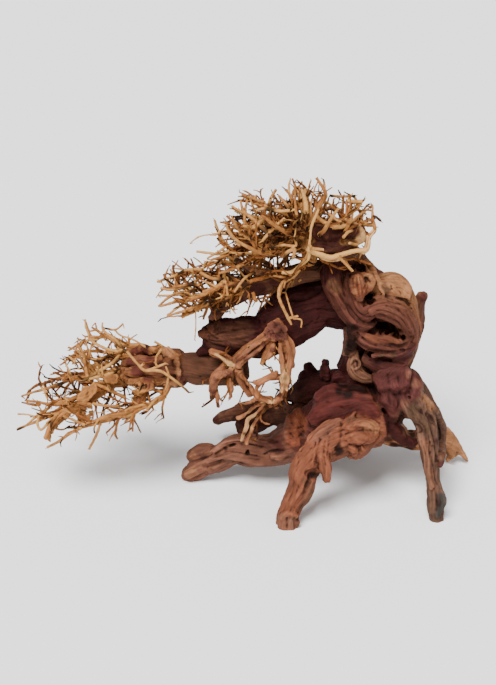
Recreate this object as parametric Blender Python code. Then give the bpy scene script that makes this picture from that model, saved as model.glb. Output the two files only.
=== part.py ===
"""Bonsai-like aquarium driftwood, glued up from weathered roots and bunches of fine roots.

The routes below are the centre lines of the roots, as x, y, z and radius in millimetres. +Z is up and
the front faces -Y. Each wood piece is the body that its routes make when they grow together. Each
spray is a core and boughs with seeded side twigs.
"""
import math
import random
from dataclasses import dataclass

import bmesh
import bpy
from mathutils import Vector
from mathutils.bvhtree import BVHTree

# Driving dimensions, in millimetres

MM = 0.001
BOX_CENTRE = (4.5, 4.9)
GLUE_GAP = 0.35
FLOOR_BLOCK = 400.0

# Wood: ring spacing, the shallow flutes round each root, its rounded ends and the skin over it all

ROUTE_STEP = 5.0
WOOD_SIDES = 12
FLUTES = 5
FLUTE_DEPTH = 0.08
FLUTE_TWIST = 0.035
END_LENGTH = 0.45
END_WIDTH = 0.62
WOOD_VOXEL = 2.0
RELAX_FACTOR = 0.5
RELAX_PASSES = 2
WOOD_TRIANGLES = {"trunk": 2200, "root_base": 2050, "upper_limb": 500, "lower_limb": 160}

# Fine roots: sides and spacing of the stations, and the room that they keep

CORE_RADIUS = 5.0
CORE_SIDES = 8
BOUGH_SIDES = 4
TWIG_SIDES = 3
BOUGH_STEP = 14.0
SHORT_TWIG = 17.0
TIP_SHARE = 0.4
MIDDLE_SHARE = 0.8
TWIG_BOW = 0.15
GOLDEN_ANGLE = 2.39996
NEIGHBOUR_CLEARANCE = 0.9
TWIG_CLEARANCE = 0.8
TEST_STEP = 2.0
CELL = 14.0
NEXT_CELLS = [(i, j, k) for i in (-1, 0, 1) for j in (-1, 0, 1) for k in (-1, 0, 1)]

# How a side twig leaves its bough: spread of its slack in the cloud, of its angle to the bough in
# radians and of its length, and how each further try turns it on and shortens it

SLACKS = (0.86, 1.08)
OPENINGS = (0.7, 1.25)
LENGTHS = (0.65, 1.3)
SPACINGS = (0.7, 1.3)
TRIES = 9
TURN_ON = 0.9
SHORTEN = 0.08
SUNK_SHARE = 0.62
FORK_LENGTH = 0.55
FORK_RADIUS = 0.75

# Wood pieces

ROOT_BASE = {
    "stump": [(121, 6, 94, 17), (116, 6, 78, 23), (98, 2, 64, 27), (73, 0, 59, 24), (54, -2, 52, 18),
              (44, -5, 46, 13)],
    "filler dome": [(97, -8, 78, 18), (77, -12, 76, 18), (64, -12, 69, 14)],
    "front leg": [(104, -22, 65, 18), (90, -32, 67, 16.5), (76, -42, 64, 14.5), (60, -50, 57, 12.5),
                  (50, -56, 44, 11.5), (46, -60, 30, 10.3), (39, -64, 16, 8.8), (36, -67, 7, 8.8),
                  (35, -68, -6, 8.6)],
    "front spur": [(62, -56, 58, 7), (65, -64, 50, 6), (66, -66, 40, 4.2)],
    "front knuckle": [(98, -32, 66, 14), (92, -40, 58, 11), (88, -42, 50, 7)],
    "right leg": [(129, -4, 88, 16), (140, -18, 77, 12), (147, -32, 65, 9.2), (149.5, -43, 50, 8.7),
                  (152, -50, 33, 7.8), (154, -55, 16, 8), (155, -58, 3, 6), (156, -59, -7, 5.5)],
    "right twin": [(135, 8, 87, 12), (146, 5, 75, 9.5), (157, -2, 58, 7.5), (160, -8, 40, 6.5),
                   (160, -12, 27, 4.5)],
    "rear right root": [(110, 14, 50, 14), (128, 20, 37, 11), (145, 25, 28, 9), (162, 30, 26, 8.5),
                        (175, 32, 22, 7.5), (184, 33, 14, 6), (191, 33, 5.5, 4.4)],
    "rear fork": [(173, 32, 22, 6), (179, 28, 10, 3.5)],
    "left leg": [(47, -6, 46, 18), (33, -3, 37, 15.5), (21, 0, 32, 13), (6, 3, 30, 13.5),
                 (-7, 5, 29, 12.5), (-21, 6, 21, 11), (-32, 7, 14, 9.5), (-42, 7, 7, 8), (-48, 7, 3, 6)],
    "left knuckle": [(-25, 11, 23, 8.5), (-37, 13, 20, 8), (-43, 13, 16, 6)],
    "back left root": [(51, 30, 57, 14), (28, 48, 41, 10), (8, 60, 39, 8), (-9, 68, 31, 7.5),
                       (-24, 74, 21, 6.5)],
    "back left stub": [(26, 48, 40, 9), (8, 50, 31, 9), (-2, 50, 27, 8)],
    "back leg": [(100, 26, 55, 18), (93, 46, 42, 15), (90, 62, 26, 12.5), (88, 74, 9, 10), (87, 79, -6, 9)],
    "dark lobe": [(79, 24, 80, 14), (63, 28, 75, 13.5), (49, 30, 67, 11.5), (40, 30, 62, 8.5)],
    "lobe stub a": [(63, 32, 80, 7), (56, 36, 87, 5.5), (54, 38, 92, 4)],
    "lobe stub b": [(58, 36, 76, 6), (49, 38, 82, 4.5)],
    "lobe stub c": [(69, 34, 79, 6), (68, 36, 88, 4.5), (69, 38, 95, 3.5)],
}

TRUNK = {
    "core": [(119, 6, 96, 14), (118, 10, 111, 17), (117, 14, 128, 17), (113, 16, 148, 16),
             (105, 15, 167, 15), (90, 11, 184, 14.5), (80, 6, 198, 15), (72, 0, 211, 12)],
    "column": [(95, 18, 142, 14), (95, 20, 125, 12.5), (93, 20, 109, 12), (89, 20, 95, 12.5)],
    "outer strand": [(71, -4, 199, 9), (69, -8, 190, 8.5), (71, -10, 179, 8), (77, -12, 169, 8),
                     (84, -13, 159, 7.5), (92, -14, 152, 7), (99, -14, 150, 5)],
    "folded strand": [(88, -8, 192, 9), (87, -11, 178, 8), (88, -14, 168, 8), (95, -17, 162, 7.5),
                      (103, -18, 167, 7.5), (112, -18, 170, 8), (120, -18, 164, 8.5), (127, -16, 154, 8),
                      (131, -13, 143, 8), (130, -13, 133, 8), (123, -14, 128, 7.5), (113, -16, 132, 7),
                      (101, -15, 135, 6.5), (93, -12, 139, 6)],
    "knot": [(90, -8, 180, 9), (93, -17, 189, 8)],
    "shoulder": [(91, -5, 198, 4.5), (95, -7, 190, 5), (102, -8, 182, 7.5), (113, -8, 180, 11.5),
                 (120, -6, 175, 12), (126, -4, 163, 11), (130, -2, 149, 10), (132, 0, 134, 10),
                 (130, 2, 121, 10.5), (124, 4, 109, 12.5), (119, 5, 98, 14)],
    "peg": [(136, 10, 122, 5), (141, 13, 136, 5), (141, 13, 151, 5), (142, 12, 160, 4.8),
            (144, 11, 165, 4.4)],
    "tongue": [(94, -2, 126, 6), (87, -9, 120, 6), (86, -14, 113, 6.5), (92, -15, 106, 6.5),
               (102, -13, 101, 6.5), (112, -7, 97, 5)],
    "coil": [(128, -4, 124, 10.5), (121, -8, 116, 10.5), (111, -9, 115, 10), (100, -6, 118, 8)],
}

UPPER_LIMB = {
    "limb": [(82, 12, 158, 22), (63, 10, 159, 21), (46, 6, 153, 22), (31, 3, 143, 21), (16, 0, 134, 18),
             (-2, -3, 135, 16), (-16, -5, 136, 14), (-27, -5, 136, 11)],
    "broken end a": [(-23, -8, 142, 8), (-34, -10, 140, 3)],
    "broken end b": [(-21, -6, 129, 8), (-36, -8, 123, 2.5)],
    "broken end c": [(-16, 0, 139, 9), (-24, 0, 149, 4)],
    "buttress": [(74, 14, 168, 18), (55, 12, 166, 17), (39, 10, 163, 14), (31, 6, 159, 9)],
    "strut": [(28, 4, 178, 4.5), (27, 2, 169, 5), (28, 0, 156, 7)],
}

LOWER_LIMB = {
    "log": [(-2, 0, 108, 15), (-22, 0, 106, 14), (-46, -2, 107, 12), (-70, -5, 108, 11),
            (-86, -7, 106, 8)],
}

# Sprays and the hanging root: cores and boughs are placed by hand, side twigs grow from them

HANGING_ROOT = {
    "head": [(26, -22, 154, 6.5), (29, -26, 148, 8)],
    "left arm": [(27, -26, 149, 6.5), (20, -27, 146, 6), (11, -27, 139, 5.5), (1, -25, 130, 5.5),
                 (-5, -23, 123, 6)],
    "cross arm": [(-25, -20, 129, 3), (-16, -22, 126, 4.5), (-5, -24, 119, 5), (-1, -25, 107, 4),
                  (6, -24, 94, 2.5)],
    "right arm": [(29, -27, 149, 6.5), (35, -30, 140, 6), (36, -31, 129, 6), (34, -31, 120, 5.5),
                  (34, -30, 108, 5), (31, -29, 95, 4.2), (22, -28, 86, 3.2), (14, -27, 78, 2.6),
                  (8, -27, 66, 2), (3, -26, 51, 1.2)],
    "loop": [(33, -30, 113, 3), (22, -33, 113, 2.4), (14, -34, 109, 2), (11, -33, 102, 2),
             (15, -31, 95, 2), (23, -29, 92, 2.4)],
    "left drop": [(-13, -22, 120, 3.5), (-21, -22, 109, 3.8), (-23, -22, 99, 3.2), (-24, -22, 89, 2)],
    "short drop": [(-8, -24, 114, 3), (-11, -25, 104, 2.4), (-9, -25, 92, 1.4)],
    "splint": [(25, -28, 145, 3), (20, -30, 134, 3.4), (15, -30, 123, 2)],
}

LEFT_SPRAY = {
    "core": [(-50, -2, 107, 15), (-62, -3, 107, 15.5), (-76, -5, 107, 13), (-89, -6, 104, 9.5),
             (-100, -6, 101, 6)],
    "collar": [(-53, -8, 119, 5), (-66, -4, 124, 6), (-78, 4, 121, 4)],
    "bough 1": [(-75, 6, 114, 4.5), (-83, 16, 118, 3.5), (-99, 28, 114, 3), (-112, 38, 117, 2.5),
                (-125, 43, 114, 2), (-130, 45, 127, 1)],
    "bough 2": [(-83, 4, 111, 4.5), (-96, 12, 111, 3.5), (-111, 20, 100, 3), (-126, 25, 96, 2.6),
                (-132, 28, 107, 2), (-135, 29, 113, 1)],
    "bough 3": [(-89, -5, 104, 5), (-100, -4, 99, 4.5), (-122, 0, 99, 3.5), (-146, 6, 93, 2.6),
                (-166, 10, 87, 1.8), (-180, 12, 76, 1)],
    "bough 4": [(-87, -8, 99, 5), (-104, -14, 98, 4.5), (-122, -18, 93, 4), (-133, -19, 89, 3.2),
                (-150, -18, 82, 2.4), (-164, -17, 81, 1.8), (-181, -16, 73, 1)],
    "bough 5": [(-98, -10, 100, 4), (-116, -22, 93, 5), (-127, -29, 87, 6), (-139, -35, 86, 4.2),
                (-150, -42, 77, 3), (-155, -46, 67, 2), (-153, -48, 60, 1)],
    "bough 6": [(-74, -12, 104, 5), (-79, -26, 94, 5.5), (-88, -36, 84, 4.5), (-106, -44, 85, 3),
                (-122, -50, 81, 2.4), (-135, -53, 72, 1.6), (-149, -54, 65, 1)],
    "bough 7": [(-56, -10, 103, 4), (-63, -26, 94, 3.2), (-73, -34, 90, 2.4), (-82, -40, 88, 1.4)],
    "bough 8": [(-104, -14, 98, 4), (-118, -13, 88, 3.2), (-131, -10, 80, 3), (-150, -4, 68, 2.4),
                (-168, 0, 58, 1.6), (-185, 2, 50, 1)],
    "bough 9": [(-77, 6, 110, 4), (-95, 28, 102, 3), (-114, 44, 100, 2.4), (-134, 54, 96, 1.8),
                (-150, 60, 87, 1)],
    "bough 10": [(-91, 0, 104, 4), (-114, 22, 92, 3), (-136, 36, 84, 2.4), (-156, 46, 75, 1.6),
                 (-172, 52, 65, 1)],
}

UPPER_SPRAY = {
    "core": [(78, 2, 197, 9), (62, 0, 191, 8.5), (45, -2, 189, 8), (29, -4, 184, 7.5), (15, -5, 181, 7),
             (2, -6, 176, 6.5), (-9, -6, 170, 5.5), (-17, -5, 162, 5), (-22, -4, 153, 4.5)],
    "bough 1": [(34, -4, 186, 3.1), (20, 0, 188, 2.8), (3, 6, 189, 2.5), (-5, 10, 195, 2.2),
                (-10, 13, 202, 1.9), (-18, 17, 214, 1.6), (-22, 20, 225, 1)],
    "bough 2": [(15, -4, 181, 3.1), (3, 4, 181, 2.8), (-10, 12, 179, 2.3), (-26, 20, 179, 1.9),
                (-44, 27, 178, 1.4), (-67, 34, 168, 0.9)],
    "bough 3": [(3, -6, 177, 3.1), (-13, -6, 175, 2.8), (-30, -2, 174, 2.3), (-47, 2, 175, 1.7),
                (-64, 5, 173, 0.9)],
    "bough 4": [(-2, -8, 176, 3.1), (-13, -16, 174, 2.6), (-26, -26, 173, 2.2), (-40, -33, 171, 1.6),
                (-57, -38, 168, 0.9)],
    "bough 5": [(-8, -7, 172, 2.8), (-27, -14, 175, 2.3), (-45, -20, 174, 1.7), (-64, -25, 170, 0.9)],
    "bough 6": [(-14, -7, 166, 2.6), (-24, -18, 168, 2.2), (-34, -26, 168, 1.7), (-46, -32, 164, 0.9)],
    "bough 7": [(8, -8, 180, 2.8), (-2, -22, 188, 2.3), (-15, -34, 191, 1.9), (-29, -42, 187, 1.4),
                (-39, -46, 184, 0.9)],
    "bough 8": [(20, -2, 181, 2.8), (11, 16, 183, 2.3), (-2, 30, 184, 1.9), (-15, 40, 182, 1.4),
                (-30, 46, 180, 0.9)],
    "bough 9": [(31, -2, 184, 2.8), (22, 16, 188, 2.3), (11, 32, 190, 1.9), (1, 44, 189, 1.4),
                (-10, 50, 189, 0.9)],
}

CROWN_SPRAY = {
    "core": [(85, 2, 218, 8), (71, 0, 222, 11), (54, -2, 220, 12), (37, -3, 216, 10.5), (21, -3, 213, 8),
             (8, -3, 211, 5)],
    "front core": [(52, -12, 202, 5.5), (51, -14, 213, 6.5), (49, -10, 221, 7.5)],
    "top core": [(59, 0, 221, 9), (54, 6, 228, 7), (48, 12, 234, 5)],
    "pale front root": [(50, -18, 214, 4.2), (56, -26, 215, 3.6), (66, -31, 212, 3.4), (76, -31, 214, 3.4),
                        (87, -28, 217, 3.4), (94, -22, 216, 3.6), (97, -18, 225, 3), (101, -16, 230, 2.6),
                        (99, -14, 239, 1.6)],
    "front twig": [(76, -31, 213, 1.8), (83, -33, 203, 0.9)],
    "tall root": [(50, -16, 217, 4), (52, -22, 235, 3.4), (58, -20, 249, 2.8), (63, -16, 258, 2.4),
                  (56, -12, 270, 1.6)],
    "hanging twig": [(50, -14, 206, 3.4), (40, -26, 197, 2.8), (31, -31, 192, 2.4), (28, -33, 182, 2),
                     (33, -33, 169, 1.7), (38, -32, 158, 1)],
    "hanging fork": [(35, -32, 163, 1.5), (43, -34, 166, 0.8)],
    "bough 1": [(40, -10, 213, 3.4), (27, -26, 215, 2.9), (14, -36, 219, 2.5), (3, -42, 226, 2),
                (-7, -46, 235, 1.6), (-12, -48, 245, 0.9)],
    "bough 2": [(32, -4, 214, 3.4), (20, -12, 218, 2.9), (7, -18, 223, 2.5), (-2, -22, 231, 1.9),
                (-8, -25, 244, 0.9)],
    "bough 3": [(45, -6, 219, 3.4), (29, -8, 226, 2.9), (16, -10, 236, 2.3), (3, -10, 240, 1.6),
                (-8, -8, 246, 0.9)],
    "bough 4": [(48, 4, 222, 3.4), (36, 14, 230, 2.8), (23, 22, 234, 2.3), (11, 28, 236, 1.7),
                (0, 32, 241, 0.9)],
    "bough 5": [(51, 4, 229, 3.1), (46, 6, 240, 2.5), (48, 10, 248, 2), (49, 12, 255, 0.9)],
    "bough 6": [(45, 8, 224, 3.1), (39, 20, 235, 2.5), (39, 28, 242, 1.9), (42, 32, 248, 0.9)],
    "bough 7": [(59, 4, 224, 3.4), (72, 14, 225, 2.8), (86, 22, 231, 2.2), (94, 26, 239, 1)],
    "bough 8": [(68, 4, 217, 3.4), (81, 16, 218, 2.8), (94, 24, 219, 2), (104, 28, 217, 0.9)],
    "bough 9": [(57, -8, 221, 3.4), (70, -22, 225, 2.8), (78, -28, 234, 2.2), (83, -30, 247, 1)],
    "bough 10": [(42, 6, 217, 3.4), (31, 24, 217, 2.8), (20, 40, 215, 2.2), (9, 50, 213, 1.4),
                 (0, 56, 211, 0.9)],
    "bough 11": [(54, 8, 222, 3.4), (58, 28, 226, 2.6), (65, 42, 226, 2), (74, 52, 226, 1)],
    "bough 12": [(29, 0, 211, 3.1), (15, 14, 208, 2.5), (3, 26, 208, 2), (-10, 34, 208, 1.4),
                 (-23, 40, 206, 0.9)],
    "bough 13": [(71, 6, 219, 3.2), (80, 26, 218, 2.5), (89, 42, 216, 1.9), (97, 52, 214, 0.9)],
    "bough 14": [(53, -10, 221, 3.1), (60, -34, 234, 2.3), (65, -44, 247, 1.9), (71, -48, 258, 0.9)],
    "bough 15": [(44, -8, 218, 3.1), (36, -30, 231, 2.5), (25, -42, 242, 1.9), (15, -48, 252, 0.9)],
    "bough 16": [(14, -3, 212, 3.4), (2, -5, 209, 2.5), (-11, -8, 206, 1.8), (-24, -10, 203, 0.9)],
    "bough 17": [(22, -4, 213, 3.4), (10, -18, 208, 2.5), (-4, -28, 204, 1.8), (-18, -34, 201, 0.9)],
}


@dataclass(frozen=True)
class TwigRule:
    """How the side twigs of one spray grow. Their tips stay in an ellipsoid round its centre."""

    seed: int
    spacing: float
    length: float
    radius: float
    forks: float
    lean: tuple
    centre: tuple
    reach: tuple


TWIG_RULES = {
    "hanging_root": TwigRule(seed=11, spacing=8.0, length=14.0, radius=1.3, forks=0.3,
                             lean=(0.0, 0.0, -0.5), centre=(6, -27, 105), reach=(46, 18, 62)),
    "left_spray": TwigRule(seed=23, spacing=8.8, length=27.0, radius=1.5, forks=0.55,
                           lean=(-0.55, 0.0, -0.1), centre=(-118, 2, 90), reach=(67, 62, 42)),
    "upper_spray": TwigRule(seed=37, spacing=7.5, length=27.0, radius=1.5, forks=0.55,
                            lean=(-0.5, 0.0, -0.05), centre=(-12, 0, 180), reach=(60, 54, 26)),
    "crown_spray": TwigRule(seed=53, spacing=8.0, length=27.0, radius=1.5, forks=0.5,
                            lean=(-0.25, 0.0, 0.3), centre=(42, 0, 222), reach=(68, 60, 42)),
}

# Finishes: name, sRGB hex, roughness

FINISHES = {
    "root_base": ("weathered root wood", "7A4630", 0.85),
    "trunk": ("twisted root wood", "85502F", 0.8),
    "upper_limb": ("dark limb wood", "55291F", 0.85),
    "lower_limb": ("dark log wood", "5A3020", 0.85),
    "hanging_root": ("tan root wood", "A6713F", 0.75),
    "left_spray": ("fine root tan", "B98350", 0.75),
    "upper_spray": ("fine root tan", "B98350", 0.75),
    "crown_spray": ("fine root gold", "B07D45", 0.75),
}


def linear(hex_colour):
    """Linear RGBA of an sRGB hex colour."""
    channels = [int(hex_colour[i:i + 2], 16) / 255 for i in (0, 2, 4)]
    return [c / 12.92 if c <= 0.04045 else ((c + 0.055) / 1.055) ** 2.4 for c in channels] + [1.0]


def wood_material(node):
    """Principled material of a node."""
    name, colour, roughness = FINISHES[node]
    material = bpy.data.materials.get(name) or bpy.data.materials.new(name)
    material.use_nodes = True
    shader = material.node_tree.nodes["Principled BSDF"]
    shader.inputs["Base Color"].default_value = linear(colour)
    shader.inputs["Roughness"].default_value = roughness
    shader.inputs["Metallic"].default_value = 0.0
    return material


def placed(point):
    """A point of the route frame, in metres, in the part's own frame."""
    return Vector((point[0] - BOX_CENTRE[0], point[1] - BOX_CENTRE[1], point[2])) * MM


def smooth_route(points, step):
    """Stations of (centre, radius) on a smooth curve through the points, about a step apart."""
    last = len(points) - 1
    stations = []
    for i in range(last):
        before, start, end, after = (Vector(points[max(0, min(last, i + k))]) for k in (-1, 0, 1, 2))
        count = max(1, round((end.xyz - start.xyz).length / step))
        for j in range(count):
            t = j / count
            curve = (start * 2 + (end - before) * t + (before * 2 - start * 5 + end * 4 - after) * t ** 2
                     + (start * 3 - before - end * 3 + after) * t ** 3) / 2
            stations.append((curve.xyz, curve.w))
    stations.append((Vector(points[last][:3]), points[last][3]))
    return stations


def tangents(stations):
    """Unit direction of travel at each station."""
    last = len(stations) - 1
    return [(stations[min(i + 1, last)][0] - stations[max(i - 1, 0)][0]).normalized()
            for i in range(last + 1)]


def add_tube(mesh, stations, sides, flute=0.0, phase=0.0, pointed=False):
    """Closed tube through the stations, with shallow flutes that wind round it."""
    directions = tangents(stations)
    side = directions[0].orthogonal().normalized()
    rings = []
    for number, ((centre, radius), direction) in enumerate(zip(stations, directions)):
        side = (side - direction * side.dot(direction)).normalized()
        other = direction.cross(side)
        if pointed and number == len(stations) - 1:
            rings.append([mesh.verts.new(placed(centre))])
            continue
        ring = []
        for k in range(sides):
            angle = 2 * math.pi * k / sides
            wave = math.cos(FLUTES * angle + phase + FLUTE_TWIST * number * ROUTE_STEP)
            reach = radius * (1 + flute * wave)
            spoke = side * math.cos(angle) + other * math.sin(angle)
            ring.append(mesh.verts.new(placed(centre + spoke * reach)))
        rings.append(ring)
    for lower, upper in zip(rings, rings[1:]):
        for k in range(sides):
            after = (k + 1) % sides
            if len(upper) == 1:
                mesh.faces.new((lower[k], lower[after], upper[0]))
            else:
                mesh.faces.new((lower[k], lower[after], upper[after], upper[k]))
    mesh.faces.new(list(reversed(rings[0])))
    if len(rings[-1]) > 1:
        mesh.faces.new(rings[-1])


def rounded(stations):
    """The stations with a smaller ring past each end, so that a cut end is not knife-sharp."""
    ends = []
    for (centre, radius), (inner, _) in ((stations[0], stations[1]), (stations[-1], stations[-2])):
        outward = (centre - inner).normalized()
        ends.append((centre + outward * radius * END_LENGTH, radius * END_WIDTH))
    return [ends[0]] + stations + [ends[1]]


def new_object(name, mesh):
    """Object of a bmesh, with its triangles made, linked to the scene."""
    data = bpy.data.meshes.new(name)
    mesh.to_mesh(data)
    mesh.free()
    body = bpy.data.objects.new(name, data)
    bpy.context.scene.collection.objects.link(body)
    return body


def apply_modifiers(body):
    """Make the evaluated mesh the object's own, and drop its modifiers."""
    view = bpy.context.evaluated_depsgraph_get()
    data = bpy.data.meshes.new_from_object(body.evaluated_get(view))
    old = body.data
    body.modifiers.clear()
    body.data = data
    bpy.data.meshes.remove(old)


def keep_largest(body):
    """Drop loose scraps and inner shells, so that one closed body is left."""
    mesh = bmesh.new()
    mesh.from_mesh(body.data)
    unseen = set(mesh.faces)
    shells = []
    while unseen:
        stack = [unseen.pop()]
        shell = []
        while stack:
            face = stack.pop()
            shell.append(face)
            for edge in face.edges:
                for other in edge.link_faces:
                    if other in unseen:
                        unseen.remove(other)
                        stack.append(other)
        shells.append(shell)
    shells.sort(key=lambda faces: sum(face.calc_area() for face in faces))
    scraps = [face for shell in shells[:-1] for face in shell]
    bmesh.ops.delete(mesh, geom=scraps, context="FACES")
    loose = [vert for vert in mesh.verts if not vert.link_faces]
    bmesh.ops.delete(mesh, geom=loose, context="VERTS")
    mesh.to_mesh(body.data)
    mesh.free()


def triangle_count(body):
    """Triangles in the object's mesh."""
    return sum(len(polygon.vertices) - 2 for polygon in body.data.polygons)


def grown_wood(node, routes):
    """Body that the routes make where they grow together, thinned to the node's triangles."""
    mesh = bmesh.new()
    for number, points in enumerate(routes.values()):
        stations = rounded(smooth_route(points, ROUTE_STEP))
        add_tube(mesh, stations, WOOD_SIDES, FLUTE_DEPTH, phase=1.7 * number)
    body = new_object(node, mesh)
    remesh = body.modifiers.new("Grown together", "REMESH")
    remesh.mode = "VOXEL"
    remesh.voxel_size = WOOD_VOXEL * MM
    relax = body.modifiers.new("Worn smooth", "SMOOTH")
    relax.factor = RELAX_FACTOR
    relax.iterations = RELAX_PASSES
    apply_modifiers(body)
    keep_largest(body)
    decimate = body.modifiers.new("Fewer faces", "DECIMATE")
    decimate.ratio = min(1.0, WOOD_TRIANGLES[node] / triangle_count(body))
    apply_modifiers(body)
    keep_largest(body)
    return body


def cut_by(body, cutter, solver="EXACT"):
    """Cut the cutter out of the body, and remove the cutter."""
    cut = body.modifiers.new("Cut", "BOOLEAN")
    cut.operation = "DIFFERENCE"
    cut.object = cutter
    cut.solver = solver
    apply_modifiers(body)
    bpy.data.objects.remove(cutter)


def fit_against(body, neighbours, solver="EXACT"):
    """Cut the body clear of its neighbours by the glue gap."""
    for neighbour in neighbours:
        mesh = bmesh.new()
        mesh.from_mesh(neighbour.data)
        mesh.normal_update()
        shift = {vert: vert.normal * GLUE_GAP * MM for vert in mesh.verts}
        for vert, step in shift.items():
            vert.co += step
        cut_by(body, new_object("swollen neighbour", mesh), solver)
    keep_largest(body)


def flatten_feet(body):
    """Cut the legs flat where they stand on the ground, at z = 0."""
    mesh = bmesh.new()
    bmesh.ops.create_cube(mesh, size=FLOOR_BLOCK * MM)
    for vert in mesh.verts:
        vert.co.z -= FLOOR_BLOCK * MM / 2
    cut_by(body, new_object("ground block", mesh))


class Room:
    """The free room round a spray: clear of the pieces built before it and of its own twigs."""

    def __init__(self, bodies):
        self.trees = []
        self.cells = {}
        for body in bodies:
            mesh = bmesh.new()
            mesh.from_mesh(body.data)
            self.trees.append(BVHTree.FromBMesh(mesh))
            mesh.free()

    def samples(self, stations):
        """Points and radii about a test step apart along the stations."""
        for (start, radius_a), (end, radius_b) in zip(stations, stations[1:]):
            count = max(1, round((end - start).length / TEST_STEP))
            for j in range(count + 1):
                t = j / count
                yield start.lerp(end, t), radius_a + (radius_b - radius_a) * t

    def cell(self, point):
        """Grid cell that holds a point."""
        return tuple(math.floor(value / CELL) for value in point)

    def fill(self, stations):
        """Take up the room of a bough or a twig."""
        for point, radius in self.samples(stations):
            self.cells.setdefault(self.cell(point), []).append((point, radius))

    def is_free(self, stations):
        """True when no point along the stations comes near another piece or an earlier twig."""
        for point, radius in self.samples(stations):
            limit = (radius + NEIGHBOUR_CLEARANCE) * MM
            if any(tree.find_nearest(placed(point), limit)[0] is not None for tree in self.trees):
                return False
            home = self.cell(point)
            for shift in NEXT_CELLS:
                for other, other_radius in self.cells.get(tuple(map(sum, zip(home, shift))), ()):
                    if (point - other).length < radius + other_radius + TWIG_CLEARANCE:
                        return False
        return True


def inside_cloud(point, rule, slack):
    """True when a point lies in the spray's cloud, an ellipsoid, widened by the slack."""
    offset = [(point[i] - rule.centre[i]) / (rule.reach[i] * slack) for i in range(3)]
    return sum(value * value for value in offset) <= 1.0


def twig_stations(root, direction, bend, length, radius):
    """Root, middle and tip of one curved twig."""
    tip = root + direction * length - bend * length * TWIG_BOW
    if length < SHORT_TWIG:
        return [(root, radius), (tip, radius * TIP_SHARE)]
    middle = root + direction * length * 0.5 + bend * length * TWIG_BOW
    return [(root, radius), (middle, radius * MIDDLE_SHARE), (tip, radius * TIP_SHARE)]


def try_twig(rng, bough, heading, turn, rule, length, radius, room):
    """A twig that leaves a bough near the wanted turn, or None where there is no room.

    bough is the centre and radius of the bough where the twig starts, and heading its direction.
    Each further try turns the twig on and makes it a little shorter.
    """
    root, thickness = bough
    side = heading.orthogonal().normalized()
    other = heading.cross(side)
    slack = rng.uniform(*SLACKS)
    opening = rng.uniform(*OPENINGS)
    size = length * rng.uniform(*LENGTHS)
    bend = Vector([rng.uniform(-1, 1) for _ in range(3)])
    sunk = (thickness + radius + 2.5 * TWIG_CLEARANCE) / max(math.sin(opening), 0.5)
    for attempt in range(TRIES):
        angle = turn + attempt * TURN_ON
        spoke = side * math.cos(angle) + other * math.sin(angle)
        direction = heading * math.cos(opening) + spoke * math.sin(opening) + Vector(rule.lean) * 0.5
        direction.normalize()
        reach = size * (1 - SHORTEN * attempt)
        twig = twig_stations(root, direction, bend, reach, radius)
        if sunk > reach * SUNK_SHARE or not inside_cloud(twig[-1][0], rule, slack):
            continue
        shown = [(root + (twig[1][0] - root).normalized() * sunk, radius)] + twig[1:]
        if room.is_free(shown):
            room.fill(shown)
            return twig
    return None


def side_twigs(routes, rule, room):
    """Seeded twigs, and forks on them, along every bough and core of a spray."""
    twigs = []
    for points in routes.values():
        room.fill(smooth_route(points, 1.0))
    for number, points in enumerate(routes.values()):
        rng = random.Random(rule.seed * 1000 + number)
        stations = smooth_route(points, 1.0)
        headings = tangents(stations)
        travelled = rule.spacing * 0.6
        turn = rng.uniform(0, 2 * math.pi)
        while travelled < len(stations) - 2:
            place = int(travelled)
            bough = stations[place]
            radius = min(rule.radius, bough[1] * 0.85) * rng.uniform(0.85, 1.15)
            length = rule.length * (1.1 - 0.45 * place / len(stations)) + bough[1]
            twig = try_twig(rng, bough, headings[place], turn, rule, length, radius, room)
            if twig:
                twigs.append(twig)
            if twig and len(twig) > 2 and rng.random() < rule.forks:
                heading = (twig[2][0] - twig[1][0]).normalized()
                fork = try_twig(rng, twig[1], heading, turn, rule, length * FORK_LENGTH,
                                radius * FORK_RADIUS, room)
                if fork:
                    twigs.append(fork)
            turn += GOLDEN_ANGLE + rng.uniform(-0.4, 0.4)
            travelled += rule.spacing * rng.uniform(*SPACINGS)
    return twigs


def spray_shapes(node, routes, room):
    """Stations, sides and whether it ends in a point, for each core, bough and twig of a spray."""
    shapes = []
    for points in routes.values():
        is_core = max(point[3] for point in points) > CORE_RADIUS
        shapes.append((smooth_route(points, BOUGH_STEP), CORE_SIDES if is_core else BOUGH_SIDES, False))
    for twig in side_twigs(routes, TWIG_RULES[node], room):
        shapes.append((twig, TWIG_SIDES, True))
    return shapes


def grown_spray(node, routes, keep_clear, fit_to):
    """Spray of a core, boughs and twigs in one closed body, fitted against what carries it."""
    pieces = []
    for number, (stations, sides, pointed) in enumerate(spray_shapes(node, routes, Room(keep_clear))):
        mesh = bmesh.new()
        add_tube(mesh, stations, sides, pointed=pointed)
        pieces.append(new_object(f"{node} {number}", mesh))
    body = pieces.pop(0)
    collection = bpy.data.collections.new(node + " pieces")
    for piece in pieces:
        collection.objects.link(piece)
    joined = body.modifiers.new("Grown together", "BOOLEAN")
    joined.operation = "UNION"
    joined.operand_type = "COLLECTION"
    joined.collection = collection
    joined.solver = "MANIFOLD"
    apply_modifiers(body)
    for piece in pieces:
        bpy.data.objects.remove(piece)
    bpy.data.collections.remove(collection)
    body.name = node
    keep_largest(body)
    fit_against(body, fit_to, solver="MANIFOLD")
    return body


def finish(body):
    """Give a node its material and smooth shading."""
    body.data.materials.clear()
    body.data.materials.append(wood_material(body.name))
    body.data.shade_smooth()
    body.data.set_sharp_from_angle(angle=math.radians(50))


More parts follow.
